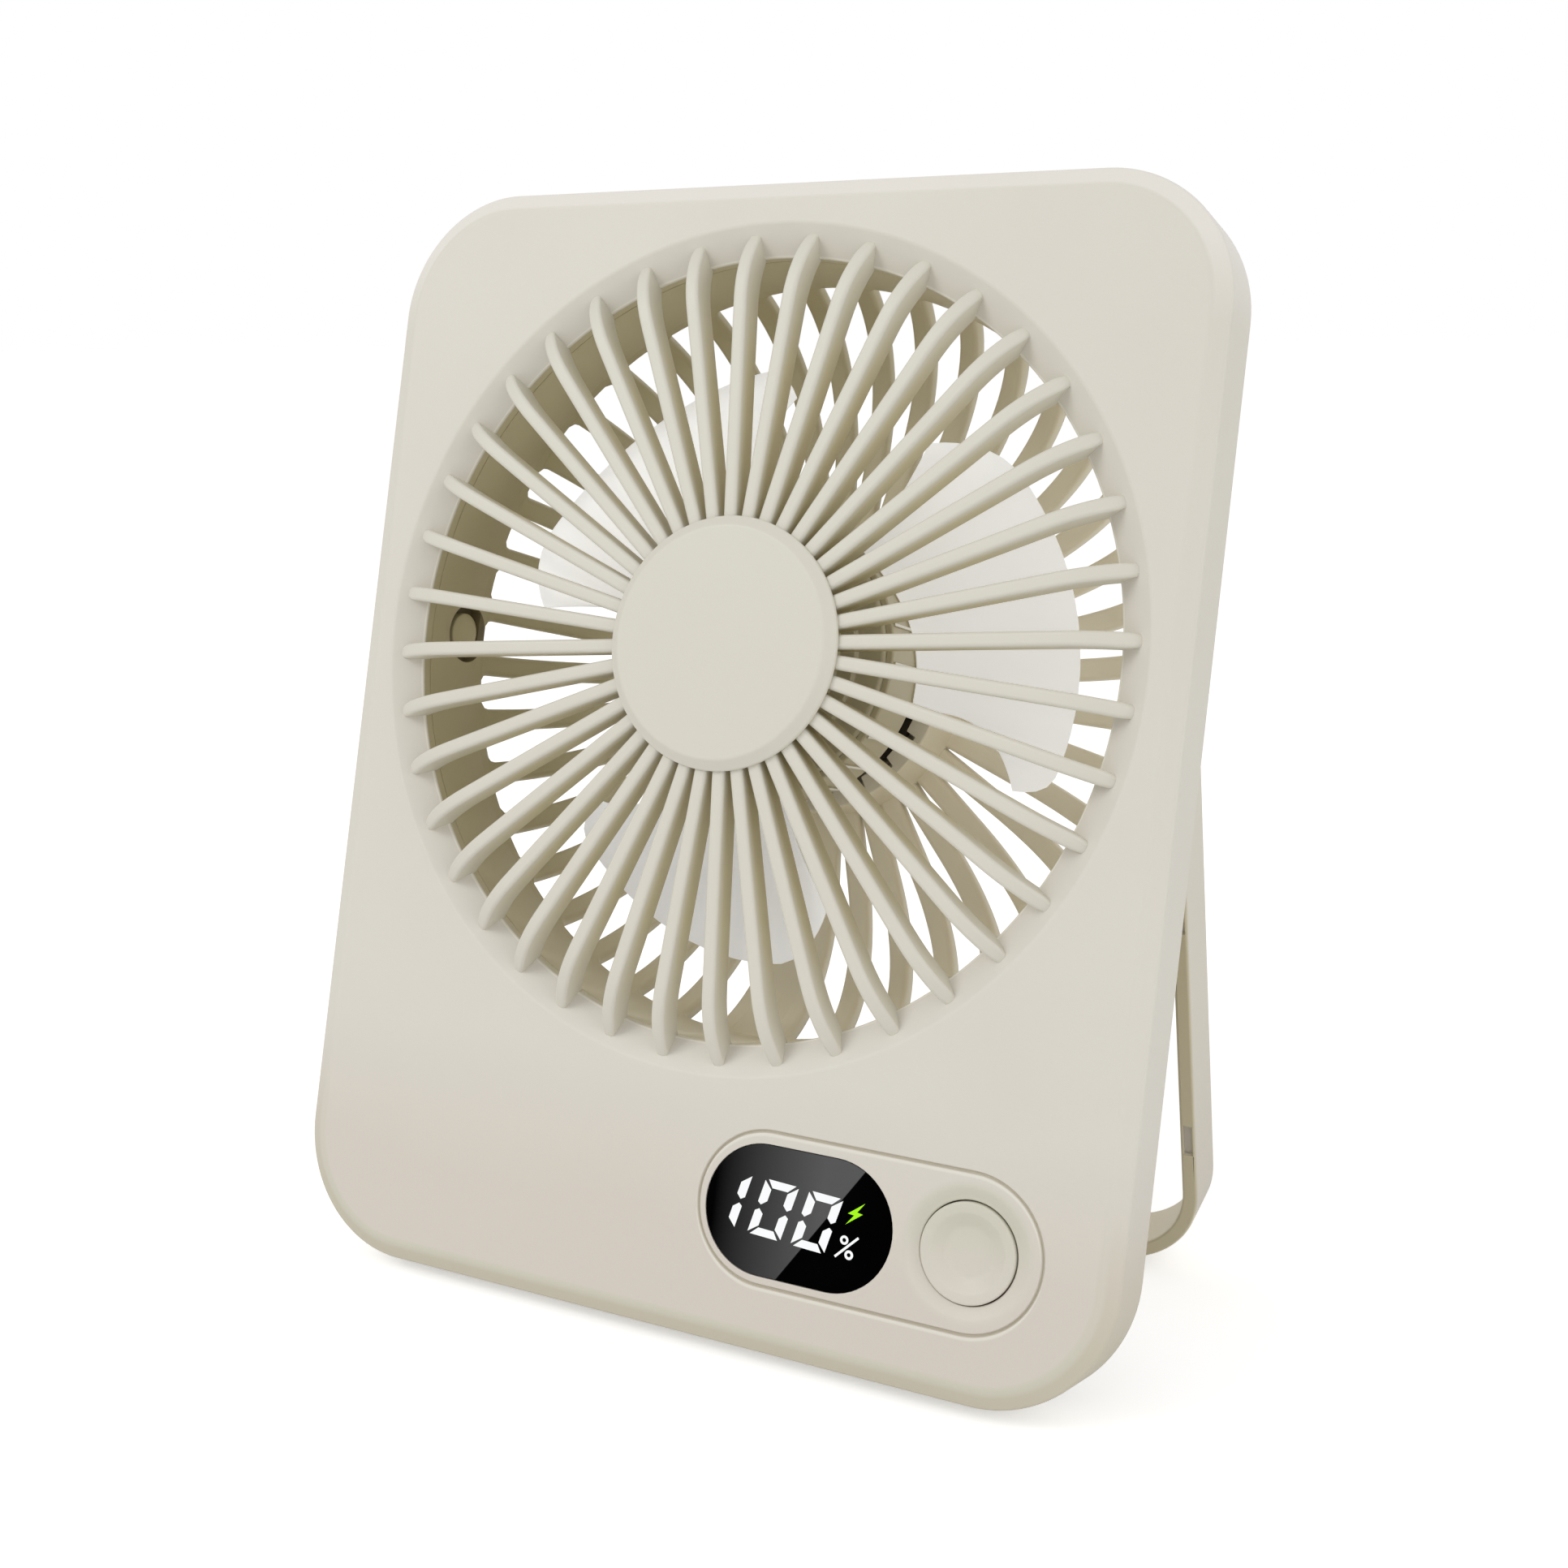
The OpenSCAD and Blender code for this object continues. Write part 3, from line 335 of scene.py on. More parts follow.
def tint(red, green, blue):
    # screen values from 0 to 255 to the linear colour that nodes take
    def linear(v):
        v = v / 255
        return v / 12.92 if v <= 0.04045 else ((v + 0.055) / 1.055) ** 2.4
    return (linear(red), linear(green), linear(blue), 1.0)


class Finish(Bench):
    def __init__(self, name, constants):
        self.material = bpy.data.materials.new(name)
        self.material.use_nodes = True
        super().__init__(self.material.node_tree)
        self.shader = self.tree.nodes["Principled BSDF"]
        for socket, value in constants.items():
            self.set(socket, value)
        self.places = self.node("ShaderNodeTexCoord", out=3)

    def mix(self, factor, a, b):
        return self.node("ShaderNodeMix", {"data_type": "RGBA", "clamp_factor": True},
                         {0: factor, 6: a, 7: b}, out=2)

    def noise(self, scale, detail=2.0, roughness=0.5):
        return self.node("ShaderNodeTexNoise", {}, {"Vector": self.places, "Scale": scale,
                                                    "Detail": detail, "Roughness": roughness})

    def axis(self, index):
        return self.node("ShaderNodeSeparateXYZ", {}, {"Vector": self.places}, out=index)

    def vectorMaths(self, operation, a, b, out=0):
        return self.node("ShaderNodeVectorMath", {"operation": operation}, {0: a, 1: b}, out)

    def along(self, point, way):
        # distance from a point along a direction, in millimetres
        offset = self.vectorMaths("SUBTRACT", self.places, point)
        return self.vectorMaths("DOT_PRODUCT", offset, way, 1) * 1000

    def roundTheAxis(self):
        # distance from the fan's axis and depth along it, in millimetres
        middle = axisFrame.translation
        depth = self.along(middle, depthWay)
        away = self.vectorMaths("DISTANCE", self.places, middle, 1) * 1000
        return (away * away - depth * depth).atLeast(0.0) ** 0.5, depth

    def set(self, socket, value):
        self.feed(self.shader.inputs[socket], value)

    def done(self, colour, roughness, height=None, strength=0.0, distance=0.0):
        self.set("Base Color", colour)
        self.set("Roughness", roughness)
        if height:
            self.set("Normal", self.node("ShaderNodeBump", {}, {"Height": height, "Strength": strength,
                                                                "Distance": distance}))
        return self.material


# heights and sizes in metres; painted shade: the lowest part of every moulding is a little darker and warmer
moulding = {"upperFrom": 0.05, "upperOver": 0.06, "lowerTo": 0.016, "lowerOver": 0.016, "uneven": 0.012,
            "grain": 2600, "patches": 45, "patchShade": 0.96, "bump": 0.25, "bumpHeight": 0.00004,
            "grainGloss": 0.14, "patchGloss": 0.06}


def mouldedPlastic(name, upper, middle, lower, roughness=0.5, paintedTones=()):
    # each painted light or shade is (a function giving its strength, its colour or a function giving the colour)
    upper, middle, lower = tint(*upper), tint(*middle), tint(*lower)
    finish = Finish(name, {"IOR": 1.5})
    fine = finish.noise(moulding["grain"], 3.0, 0.6)
    broad = finish.noise(moulding["patches"])
    height = finish.axis(2)
    # painted shade: the colour changes with height, darker and warmer low down
    base = finish.mix(height.above(moulding["upperFrom"], moulding["upperOver"]), middle, upper)
    ragged = height + (broad - 0.5) * moulding["uneven"]
    base = finish.mix(ragged.above(moulding["lowerTo"], moulding["lowerOver"]), lower, base)
    dim = [v * moulding["patchShade"] for v in lower[:3]] + [1.0]
    base = finish.mix((broad - 0.35) * 1.2, base, finish.mix(0.35, base, dim))
    for strength, colour in paintedTones:
        base = finish.mix(strength(finish), base, colour(finish) if callable(colour) else colour)
    roughness = roughness + (fine - 0.5) * moulding["grainGloss"] + (broad - 0.5) * moulding["patchGloss"]
    return finish.done(base, roughness, fine, moulding["bump"], moulding["bumpHeight"])


def bladeFinish(name):
    # white, warmer and darker where the blades join the hub's sleeve, with a painted glow: emission that stands in
    # for light through them
    finish = Finish(name, {"IOR": 1.5, "Emission Strength": 0.33})
    fine = finish.noise(moulding["grain"], 3.0, 0.6)
    radius, _ = finish.roundTheAxis()
    atHub = radius.under(18.15, 0.05)
    # painted light: paler, with more painted glow, high up and on the right
    lit = (finish.axis(2).above(0.05, 0.03) + finish.axis(0).above(0.006, 0.014)).limited()
    paintedLitWhite = finish.mix(lit, tint(236, 236, 232), tint(250, 250, 247))
    glow = finish.mix(lit, tint(200, 202, 214), tint(238, 241, 250))
    finish.set("Emission Color", finish.mix(atHub, glow, tint(0, 0, 0)))
    return finish.done(finish.mix(atHub, paintedLitWhite, tint(198, 190, 164)), 0.36 + (fine - 0.5) * 0.1, fine, 0.2, 0.00001)


def plainPart(name, colour, other, roughness, metallic=0.0, scale=900):
    finish = Finish(name, {"Metallic": metallic})
    grain = finish.noise(scale, 3.0, 0.6)
    colour = finish.mix(grain, tint(*colour), tint(*other))
    return finish.done(colour, roughness + (grain - 0.5) * 0.2, grain, 0.2, 0.00003)


def litFinish(name, colour):
    finish = Finish(name, {"Roughness": 0.4, "Specular IOR Level": 0.1, "Emission Strength": 1.0,
                           "Base Color": (0.01, 0.01, 0.01, 1)})
    bright = tint(*colour)
    dim = [v * 0.94 for v in bright[:3]] + [1.0]
    finish.set("Emission Color", finish.mix(finish.noise(700, 1.0), bright, dim))
    return finish.material


# sizes that the finishes follow as well as the shapes
rib = {"count": 40, "phase": 4.5, "width": 1.7, "outerWidth": 1.8, "endWidth": 1.45, "depth": 3.5, "rise": 2.8,
       "bendRadius": 41, "tipRadius": 50.2, "bendPower": 2.4, "narrowFrom": 48, "corner": 0.5, "lip": 0.3,
       "startRadius": 12.5}
funnelSlope = (fan["funnelDepth"] - front) / (fan["openingRadius"] - fan["ductRadius"])
rib["drop"] = rib["rise"] + (fan["openingRadius"] - rib["tipRadius"]) * funnelSlope - rib["lip"]

dome = {"spokes": 40, "phase": 4.5, "width": 2.8, "thickness": 2.2, "arcRadius": 20.004, "flatRadius": 29,
        "arcDepth": 6.896, "rimDepth": 14, "backDepth": 29.1, "rimRadius": 49.9, "cupRadius": 19, "cupWall": 2.6,
        "cupDepth": 19.5, "slots": 24, "slotWidth": 2.2, "slotDepth": 3, "slotLip": 1.2, "firstTooth": 7.5,
        "channelWidth": 6.4, "channelAngle": 90, "channelSwell": 0.05, "rimFrom": 12.4}

# the groove and the display are pills (x, z, length, height); the button is at (x, z)
panel = {"groove": (25.45, 16.9, 43.4, 18), "display": (16.9, 16.65, 24.2, 15.3), "button": (38.2, 16.85),
         "buttonRadius": 5.72, "holeRadius": 5.88}

# where each painted light or shade begins or ends and how far it takes to fade, in millimetres
paintedShading = {
    "ribSide": (0.25, 1.4), "ribEnd": (49.5, 16), "duct": (fan["ductRadius"] + 0.3, 0.1),
    "lipBack": (1.15, 0.15), "lipFront": (1.12, 0.06), "dome": (dome["arcRadius"] + 1.9, 0.5),
    "pinRecess": (3.96, 0.05), "recessFrom": (46, 0.2), "recessTo": (49.3, 0.05), "standFront": (-3.5, 0.12),
    "crossbarFrom": (60, 10), "crossbarTo": (78.2, 0.2), "bandInside": (52.6, 0.2),
    "lowPart": (-44, 18), "lowBevel": (-2.9, 0.4), "highPart": (52, 10), "highBevel": (-2.2, 0.4),
    "wall": (-1.9, 0.5), "upwards": (-20, 40), "dish": (8.2, 0.8), "dishUpwards": (-3.5, 7),
    # half a painted line's width and how far it is moved down: painted shade in the groove, and a painted highlight
    # where light falls on its lower flank
    "grooveShadowLine": (0.24, 0), "grooveHighlight": (0.28, 0.42),
}

# painted shade for the ribs' sides and the pins
paintedInnerShade = tint(206, 196, 161)
# painted shade inside the pivot pins' recesses
recessShadeTone = tint(122, 110, 80)
# painted shade on the stand's forward face
standFrontShadeTone = tint(206, 196, 166)
# painted light on the stand's crossbar
crossbarLitTone = tint(240, 231, 208)
# painted shade in the groove
grooveShadowTone = tint(184, 176, 155)
# painted highlight on the groove's lower flank and on the duct's lip
paintedHighlight = tint(230, 226, 214)


def domeLitAndShadedTone(finish):
    # painted light and shade: paler low down and on the right, where more light falls in
    right = finish.axis(0) - (finish.axis(2) - 0.078) * 0.6
    return finish.mix(right.above(-0.03, 0.06), tint(196, 186, 152), tint(241, 233, 211))


def ribShade(finish):
    # painted shade: warmer and darker down the ribs' sides, neutral on their fronts, which curve down at the ends
    radius, depth = finish.roundTheAxis()
    bend = radius.above(rib["bendRadius"], rib["tipRadius"] - rib["bendRadius"])
    crown = bend ** rib["bendPower"] * rib["drop"] + (front - rib["rise"])
    return (depth - crown).above(*paintedShading["ribSide"]) * radius.under(*paintedShading["ribEnd"])


def lipHighlight(finish):
    # a painted highlight: the thin bright edge where the funnel meets the duct
    radius, depth = finish.roundTheAxis()
    return radius.under(*paintedShading["duct"]) * depth.under(*paintedShading["lipFront"])


def lipShade(finish):
    # painted light and shade on the wall of the duct behind that edge
    radius, depth = finish.roundTheAxis()
    return radius.under(*paintedShading["duct"]) * depth.above(*paintedShading["lipBack"])


def domeShade(finish):
    # painted shade and light inside the duct and the dome, in warmer colours
    radius, depth = finish.roundTheAxis()
    out = (radius - dome["flatRadius"]).atLeast(0.0)
    down = depth - dome["arcDepth"]
    return ((out * out + down * down) ** 0.5).under(*paintedShading["dome"])


def pivotShade(finish):
    # painted shade: dark inside the recesses round the pivot pins' heads
    over, back = finish.along(pivotPlace, upWay), finish.along(pivotPlace, depthWay)
    side = finish.along(pivotPlace, rightWay).size()
    inside = side.above(*paintedShading["recessFrom"]) * side.under(*paintedShading["recessTo"])
    return ((over * over + back * back) ** 0.5).under(*paintedShading["pinRecess"]) * inside


def standShade(finish):
    # painted shade on the face of the band that looks forwards when the stand is open
    return finish.along(pivotPlace, standWay).under(*paintedShading["standFront"])


def crossbarLitMask(finish):
    # painted light on the inner face of the crossbar, with the lower ends of the legs
    below = finish.along(pivotPlace, standDown)
    inside = finish.along(pivotPlace, rightWay).size().under(*paintedShading["bandInside"])
    return below.above(*paintedShading["crossbarFrom"]) * below.under(*paintedShading["crossbarTo"]) * inside


def edgeDistance(finish):
    # distance outwards from the body's outline, and height from its middle
    x = finish.along(bodyMiddle, rightWay).size() - (fan["width"] / 2 - fan["corner"])
    z = finish.along(bodyMiddle, upWay)
    over = z.size() - (fan["height"] / 2 - fan["corner"])
    return (x.atLeast(0.0) ** 2 + over.atLeast(0.0) ** 2) ** 0.5 - fan["corner"], z


def edgeLightAndShade(finish):
    # painted shade on the bevel and the wall along the body's lower edge, painted light along its upper edge
    out, z = edgeDistance(finish)
    low = z.under(*paintedShading["lowPart"]) * out.above(*paintedShading["lowBevel"])
    high = z.above(*paintedShading["highPart"]) * out.above(*paintedShading["highBevel"])
    return (low + high) * 0.9


def edgeLitAndShadedTone(finish):
    # painted shade and light: the wall is darker than the bevel below, and both are paler above
    out, z = edgeDistance(finish)
    low = finish.mix(out.above(*paintedShading["wall"]), tint(206, 202, 185), tint(199, 192, 172))
    return finish.mix(z.above(*paintedShading["upwards"]), low, tint(229, 225, 217))


def onPanel(finish, x, z):
    # distances to the right of and above a place near the body's lower edge
    return (finish.along(bodyMiddle, rightWay) - x,
            finish.along(bodyMiddle, upWay) + (fan["height"] / 2 - z))


def paintedGrooveMark(finish, half, drop):
    # a painted line along the groove, used for the painted shade in it and the painted highlight on its lower flank
    centreX, centreZ, length, height = panel["groove"]
    x, z = onPanel(finish, centreX, centreZ - drop)
    over = (x.size() - (length - height) / 2).atLeast(0.0)
    out = (over ** 2 + z ** 2) ** 0.5 - height / 2
    return out.size().under(half, half / 1.4) * 0.75


def dishShade(finish):
    # painted shade in and round the button's dish
    x, z = onPanel(finish, *panel["button"])
    return ((x ** 2 + z ** 2) ** 0.5).under(*paintedShading["dish"]) * 0.8


def paintedDishTone(finish):
    # painted shade: darker and greener in the dish's upper part, paler below
    _, z = onPanel(finish, *panel["button"])
    return finish.mix(z.above(*paintedShading["dishUpwards"]), tint(215, 209, 197), tint(206, 204, 187))


# the slanting edge of a painted reflection on the window runs through (x, z); to the left it fades out
paintedReflection = {"x": 20.1, "z": 16.45, "right": 0.826, "down": 0.564, "edge": 1 / 12, "fade": 1 / 0.07}


def glossWindow(name):
    # black gloss with a painted reflection: a sheen painted across its left part
    finish = Finish(name, {"Specular IOR Level": 0.0})
    x, z = onPanel(finish, paintedReflection["x"], paintedReflection["z"])
    reflectionMask = (x * paintedReflection["right"] - z * paintedReflection["down"]).under(paintedReflection["edge"] / 2, paintedReflection["edge"])
    reflectionMask = reflectionMask * x.above(-paintedReflection["fade"], paintedReflection["fade"])
    fleck = finish.noise(80, 1.0) * 0.02
    return finish.done(finish.mix((reflectionMask + fleck).limited(), tint(0, 0, 1), tint(90, 90, 91)), 0.08 + fleck)


shellPlastic = mouldedPlastic("shellPlastic", (215, 211, 199), (218, 214, 203), (213, 205, 194), 0.5,
                              [(edgeLightAndShade, edgeLitAndShadedTone), (dishShade, paintedDishTone),
                               (lambda f: paintedGrooveMark(f, *paintedShading["grooveHighlight"]), paintedHighlight),
                               (lambda f: paintedGrooveMark(f, *paintedShading["grooveShadowLine"]), grooveShadowTone),
                               (lipHighlight, paintedHighlight), (lipShade, domeLitAndShadedTone)])
ribPlastic = mouldedPlastic("ribPlastic", (214, 211, 198), (215, 211, 198), (215, 208, 196), 0.5,
                            [(ribShade, paintedInnerShade)])
rearPlastic = mouldedPlastic("rearPlastic", (212, 207, 192), (210, 204, 189), (206, 198, 184), 0.55,
                             [(domeShade, domeLitAndShadedTone), (pivotShade, recessShadeTone)])
standPlastic = mouldedPlastic("standPlastic", (217, 212, 197), (215, 209, 195), (212, 205, 192), 0.5,
                              [(crossbarLitMask, crossbarLitTone), (standShade, standFrontShadeTone)])
pinPlastic = mouldedPlastic("pinPlastic", (212, 208, 198), (208, 203, 191), (206, 200, 190), 0.5,
                            [(domeShade, paintedInnerShade)])
hubPlastic = mouldedPlastic("hubPlastic", (200, 192, 168), (198, 190, 166), (196, 188, 164), 0.45)
bladePlastic = bladeFinish("bladePlastic")
windowGloss = glossWindow("windowGloss")
digitLight = litFinish("digitLight", (252, 253, 254))
boltLight = litFinish("boltLight", (168, 250, 4))


def buildRoundPattern():
    tree = bpy.data.node_groups.new("roundPattern", "GeometryNodeTree")
    face = tree.interface
    face.new_socket("Geometry", in_out="OUTPUT", socket_type="NodeSocketGeometry")
    for name, kind in ("Geometry", "Geometry"), ("Count", "Int"), ("First Angle", "Float"), ("Material", "Material"):
        face.new_socket(name, in_out="INPUT", socket_type="NodeSocket" + kind)
    bench = Bench(tree)
    entry = tree.nodes.new("NodeGroupInput")
    shape, count, first, finish = [Wire(bench, entry.outputs[k]) for k in range(4)]
    single = bench.node("GeometryNodeGeometryToInstance", {}, {0: shape})
    many = bench.node("GeometryNodeDuplicateElements", {"domain": "INSTANCE"}, {"Geometry": single, "Amount": count})
    index = Wire(bench, many.socket.node.outputs["Duplicate Index"])
    angle = index * 2 * math.pi / count + first
    euler = bench.node("ShaderNodeCombineXYZ", {}, {"Z": angle})
    spread = bench.node("GeometryNodeRotateInstances", {},
                        {"Instances": many, "Rotation": euler, "Local Space": False})
    real = bench.node("GeometryNodeRealizeInstances", {}, {"Geometry": spread})
    done = bench.node("GeometryNodeSetMaterial", {}, {"Geometry": real, "Material": finish})
    tree.links.new(done.socket, tree.nodes.new("NodeGroupOutput").inputs[0])
    return tree


roundPattern = buildRoundPattern()


def repeatedRound(name, form, crease, count, firstAngle, finish, level=True):
    # the form is built at angle nought: x outwards from the axis, y across, z the depth
    piece = linked(name, meshOf(name, form, Matrix.Identity(4), crease))
    modifier = piece.modifiers.new("roundPattern", "NODES")
    modifier.node_group = roundPattern
    values = {"Count": count, "First Angle": math.radians(firstAngle), "Material": finish}
    for item in roundPattern.interface.items_tree:
        if item.in_out == "INPUT" and item.name in values:
            modifier[item.identifier] = values[item.name]
    settled(piece)
    piece.data.transform(axisFrame)
    return finished(piece, finish, level)


shell = {"bevel": 2.1, "bevelSoftness": 1.6, "edge": 0.5, "skin": 2, "mouthSoftness": 1.2, "seatLap": 1.4,
         "grooveMouth": 0.24, "grooveFloor": 0.06, "grooveDepth": 0.32, "windowGap": 0.08, "windowFloor": 0.32,
         "dishTo": 1.5, "dishFrom": 0.4, "dishDepth": 0.42}


def buildFrontShell():
    form = Form()
    wall, seat, skirt, skin = fan["wallDepth"], fan["seatDepth"], fan["skirtDepth"], shell["skin"]
    outer = rectOutline(-fan["width"] / 2, 0, fan["width"] / 2, fan["height"], fan["corner"], 24)
    frontEdge, backEdge = sweep(form, outer, soften([
        (-shell["bevel"] - 1.1, front), (-shell["bevel"], front, shell["bevelSoftness"]), (0, 0, shell["edge"]),
        (0, skirt, 0.3), (-skin, skirt, 0.3), (-skin, wall, 0.3), (-skin - 0.6, wall)]))

    mouth, duct = fan["openingRadius"], fan["ductRadius"]
    behind = mouth + shell["seatLap"]
    funnel = turned(form, soften([
        (mouth + 0.8, front), (mouth - 0.5, front, shell["mouthSoftness"]), (duct, fan["funnelDepth"], 0.3),
        (duct, seat, 0.2), (behind, seat, 0.2), (behind, wall), (behind + 0.3, wall)]), steps=160)

    lip, narrow, bottom = shell["grooveMouth"], shell["grooveFloor"], front + shell["grooveDepth"]
    grooveOut, grooveIn = sweep(form, pillOutline(*panel["groove"]), soften([
        (0.5, front), (lip, front, 0.12), (narrow, bottom, 0.08), (-narrow, bottom, 0.08), (-lip, front, 0.1),
        (-0.5, front)], 4))

    gap, floor = shell["windowGap"], shell["windowFloor"]
    recessOut, recessBack = sweep(form, pillOutline(*panel["display"]), soften([
        (0.3, front), (gap, front, 0.12), (gap, floor), (-1, floor), (-1, wall), (-0.8, wall)], 3))

    hole = panel["holeRadius"]
    dish = turned(form, soften([
        (hole + 2.1, front), (hole + shell["dishTo"], front, 1.5),
        (hole + shell["dishFrom"], front + shell["dishDepth"], 1.2),
        (hole, front + shell["dishDepth"] + 0.03, 0.15), (hole, wall), (hole + 0.3, wall)], 4),
        *panel["button"], 72)

    form.fill(frontEdge, [funnel[0], grooveOut])
    form.fill(grooveIn, [recessOut, dish[0]])
    form.fill(backEdge, [funnel[-1], recessBack, dish[-1]])
    return pieceOf("frontShell", form, shellPlastic, crease=40)


rides(buildFrontShell(), "root", "body_plastic", "front_shell")
print("front shell made")


def ribSection(width, top, bottom, corner):
    half = width / 2
    corner = min(corner, half * 0.95, (bottom - top) * 0.6)
    found = [(-half * 0.88, bottom)]
    for k in range(6):
        a = math.pi - math.pi / 2 * k / 5
        found.append((-half + corner + corner * math.cos(a), top + corner - corner * math.sin(a)))
    return found + [(-y, z) for y, z in reversed(found)]


def portion(value, first, last):
    # how far a value lies from the first to the last, from 0 to 1
    return min(1, max(0, (value - first) / (last - first)))


def buildRibs():
    form = Form()
    tip, bend, duct = rib["tipRadius"], rib["bendRadius"], fan["ductRadius"]
    crown = front - rib["rise"]
    under = crown + rib["depth"]
    # beyond the tip's radius the end is rounded off: narrower and lower
    rounding = {tip + 0.1: (0.88, 0.08), tip + 0.18: (0.6, 0.25)}
    rings = []
    straight = [rib["startRadius"], 16, 22, 29, 36, 39]
    for r in straight + [bend + (tip - bend) * (k / 18) ** 0.8 for k in range(19)] + list(rounding):
        top = crown + portion(r, bend, tip) ** rib["bendPower"] * rib["drop"]
        width = rib["width"] + (rib["outerWidth"] - rib["width"]) * (r / tip)
        width = width + (rib["endWidth"] - width) * portion(r, rib["narrowFrom"], tip) ** 2.5
        narrower, lower = rounding.get(r, (1, 0))
        # the underside rises to meet the funnel's cone
        bottom = under + portion(r, bend, duct - 0.2) ** 2.2 * (1.4 - under)
        if r > duct - 0.3:
            bottom = front + (fan["openingRadius"] - r) * funnelSlope + 0.5
        section = ribSection(width * narrower, top + lower, bottom, rib["corner"])
        rings.append(form.ring([(r, y, z) for y, z in section]))
    form.close(rings)
    return repeatedRound("ribs", form, 50, rib["count"], rib["phase"], ribPlastic)


cap = {"radius": 15.3, "flatRadius": 14, "height": 1.4, "edge": 0.9, "stud": 3, "hubRadius": 14}


def buildGrilleHub():
    near, r = front - rib["rise"], cap["hubRadius"]
    far = near + rib["depth"]
    return turnedPiece("grilleHub", [(0, near), (r, near, 0.3), (r, far, 0.3), (0, far)], ribPlastic, 72)


rides(joined("frontGrille", [buildRibs(), buildGrilleHub()]), "root", "body_plastic", "front_grille")


def buildCap():
    seat, r, stud = front - rib["rise"], cap["radius"], cap["stud"]
    face, studEnd = seat - cap["height"], seat + rib["depth"] - 0.4
    return turnedPiece("centreCap", [
        (0, face), (cap["flatRadius"], face, 0.7), (r, face + cap["edge"], 0.35), (r, seat, 0.15), (stud, seat),
        (stud, studEnd), (0, studEnd)], ribPlastic)


rides(buildCap(), "root", "body_plastic", "centre_cap")
print("front grille and cap made")


def buildWindow():
    form = Form()
    profile = soften([(-0.5, front), (0, front, 0.15), (0, 0.3, 0.1), (-0.5, 0.3)], 3)
    for rim in sweep(form, pillOutline(*panel["display"], 40), profile):
        form.fill(rim)
    return pieceOf("displayWindow", form, windowGloss)


rides(buildWindow(), "root", "window_plastic", "display_window")

# the lit signs are thin plates that stand a little out of the window's face
sign = {"near": front - 0.02, "far": front + 0.05}
digits = {"height": 6.75, "width": 4.4, "slant": math.tan(math.radians(14.4)), "pitch": 5.78, "stroke": 1.12,
          "bar": 0.92, "gap": 0.24, "tilt": -0.05, "centreX": 13.75, "centreZ": 16.95, "firstPlace": -1.07}
bolt = [(25.34, 19.93), (23.31, 18.43), (24.12, 18.35), (23.15, 17.13), (25.17, 18.63), (24.45, 18.75)]
percent = {"rings": [(23.23, 15.34, 0.53), (24.0, 13.76, 0.55)], "hole": 0.24,
           "upper": (24.97, 15.91), "lower": (22.26, 13.27), "halfWidth": 0.14}


def plate(form, corners):
    near, far = [form.ring([(x, depth, z) for x, z in corners]) for depth in (sign["near"], sign["far"])]
    form.fill(near)
    form.fill(far)
    form.bridge(near, far)


def digitStrokes():
    w, h = digits["width"] / 2, digits["height"] / 2
    s, b, g = digits["stroke"], digits["bar"], digits["gap"]
    top = [(-w + g * 1.6, h), (w - g * 1.6, h), (w - s - g * 0.3, h - b), (-w + s + g * 0.3, h - b)]
    side = [(w, h - g * 0.8), (w, g + s * 0.28), (w - s * 0.42, g), (w - s, g + s * 0.5), (w - s, h - b - g)]

    def flipped(shape, acrossX, acrossZ):
        return [(x * acrossX, z * acrossZ) for x, z in shape]

    # the two strokes on the right make a one, and all six make a nought
    right = [side, flipped(side, 1, -1)]
    return right, [top, flipped(top, 1, -1)] + right + [flipped(side, -1, 1), flipped(side, -1, -1)]


def buildDigits():
    form = Form()
    one, nought = digitStrokes()
    for place, strokes in [(digits["firstPlace"], one), (0, nought), (1, nought)]:
        for stroke in strokes:
            corners = []
            for x, z in stroke:
                across = place * digits["pitch"] + x + z * digits["slant"]
                corners.append((digits["centreX"] + across, digits["centreZ"] + z + across * digits["tilt"]))
            plate(form, corners)
    return pieceOf("litDigits", form, digitLight, level=False)


def buildBolt():
    form = Form()
    plate(form, bolt)
    return pieceOf("boltSign", form, boltLight, level=False)


def buildPercent():
    form = Form()
    near, far, hole = sign["near"], sign["far"], percent["hole"]
    for x, z, radius in percent["rings"]:
        rings = turned(form, [(radius, far), (radius, near), (hole, near), (hole, far)], x, z, 24)
        form.bridge(rings[-1], rings[0])
    upper, lower = Vector(percent["upper"]), Vector(percent["lower"])
    side = Vector((lower.y - upper.y, upper.x - lower.x)).normalized() * percent["halfWidth"]
    plate(form, [upper + side, upper - side, lower - side, lower + side])
    return pieceOf("percentSign", form, digitLight, level=False)


for piece in (buildDigits(), buildBolt(), buildPercent()):
    rides(piece, "root", "window_plastic")


# the button's dish: its middle's radius and depth, its flank's end, and the collar that keeps it in
button = {"middle": 2.9, "dishDepth": 1, "flankTo": 4.5, "collar": 6.9, "collarDepth": 2, "back": 2.14}


def buildButton():
    form = Form()
    r, collar, back = panel["buttonRadius"], button["collar"], button["back"]
    low = front + button["dishDepth"]
    turned(form, soften([(0, low), (button["middle"], low - 0.06, 1.6),
                         (button["flankTo"], front + 0.06, 0.9), (r, front, 0.25), (r, button["collarDepth"]),
                         (collar, button["collarDepth"]), (collar, back), (0, back)], 6), *panel["button"])
    return pieceOf("powerButton", form, shellPlastic)


rides(buildButton(), "power_button", "body_plastic", "power_button")
print("display and button made")


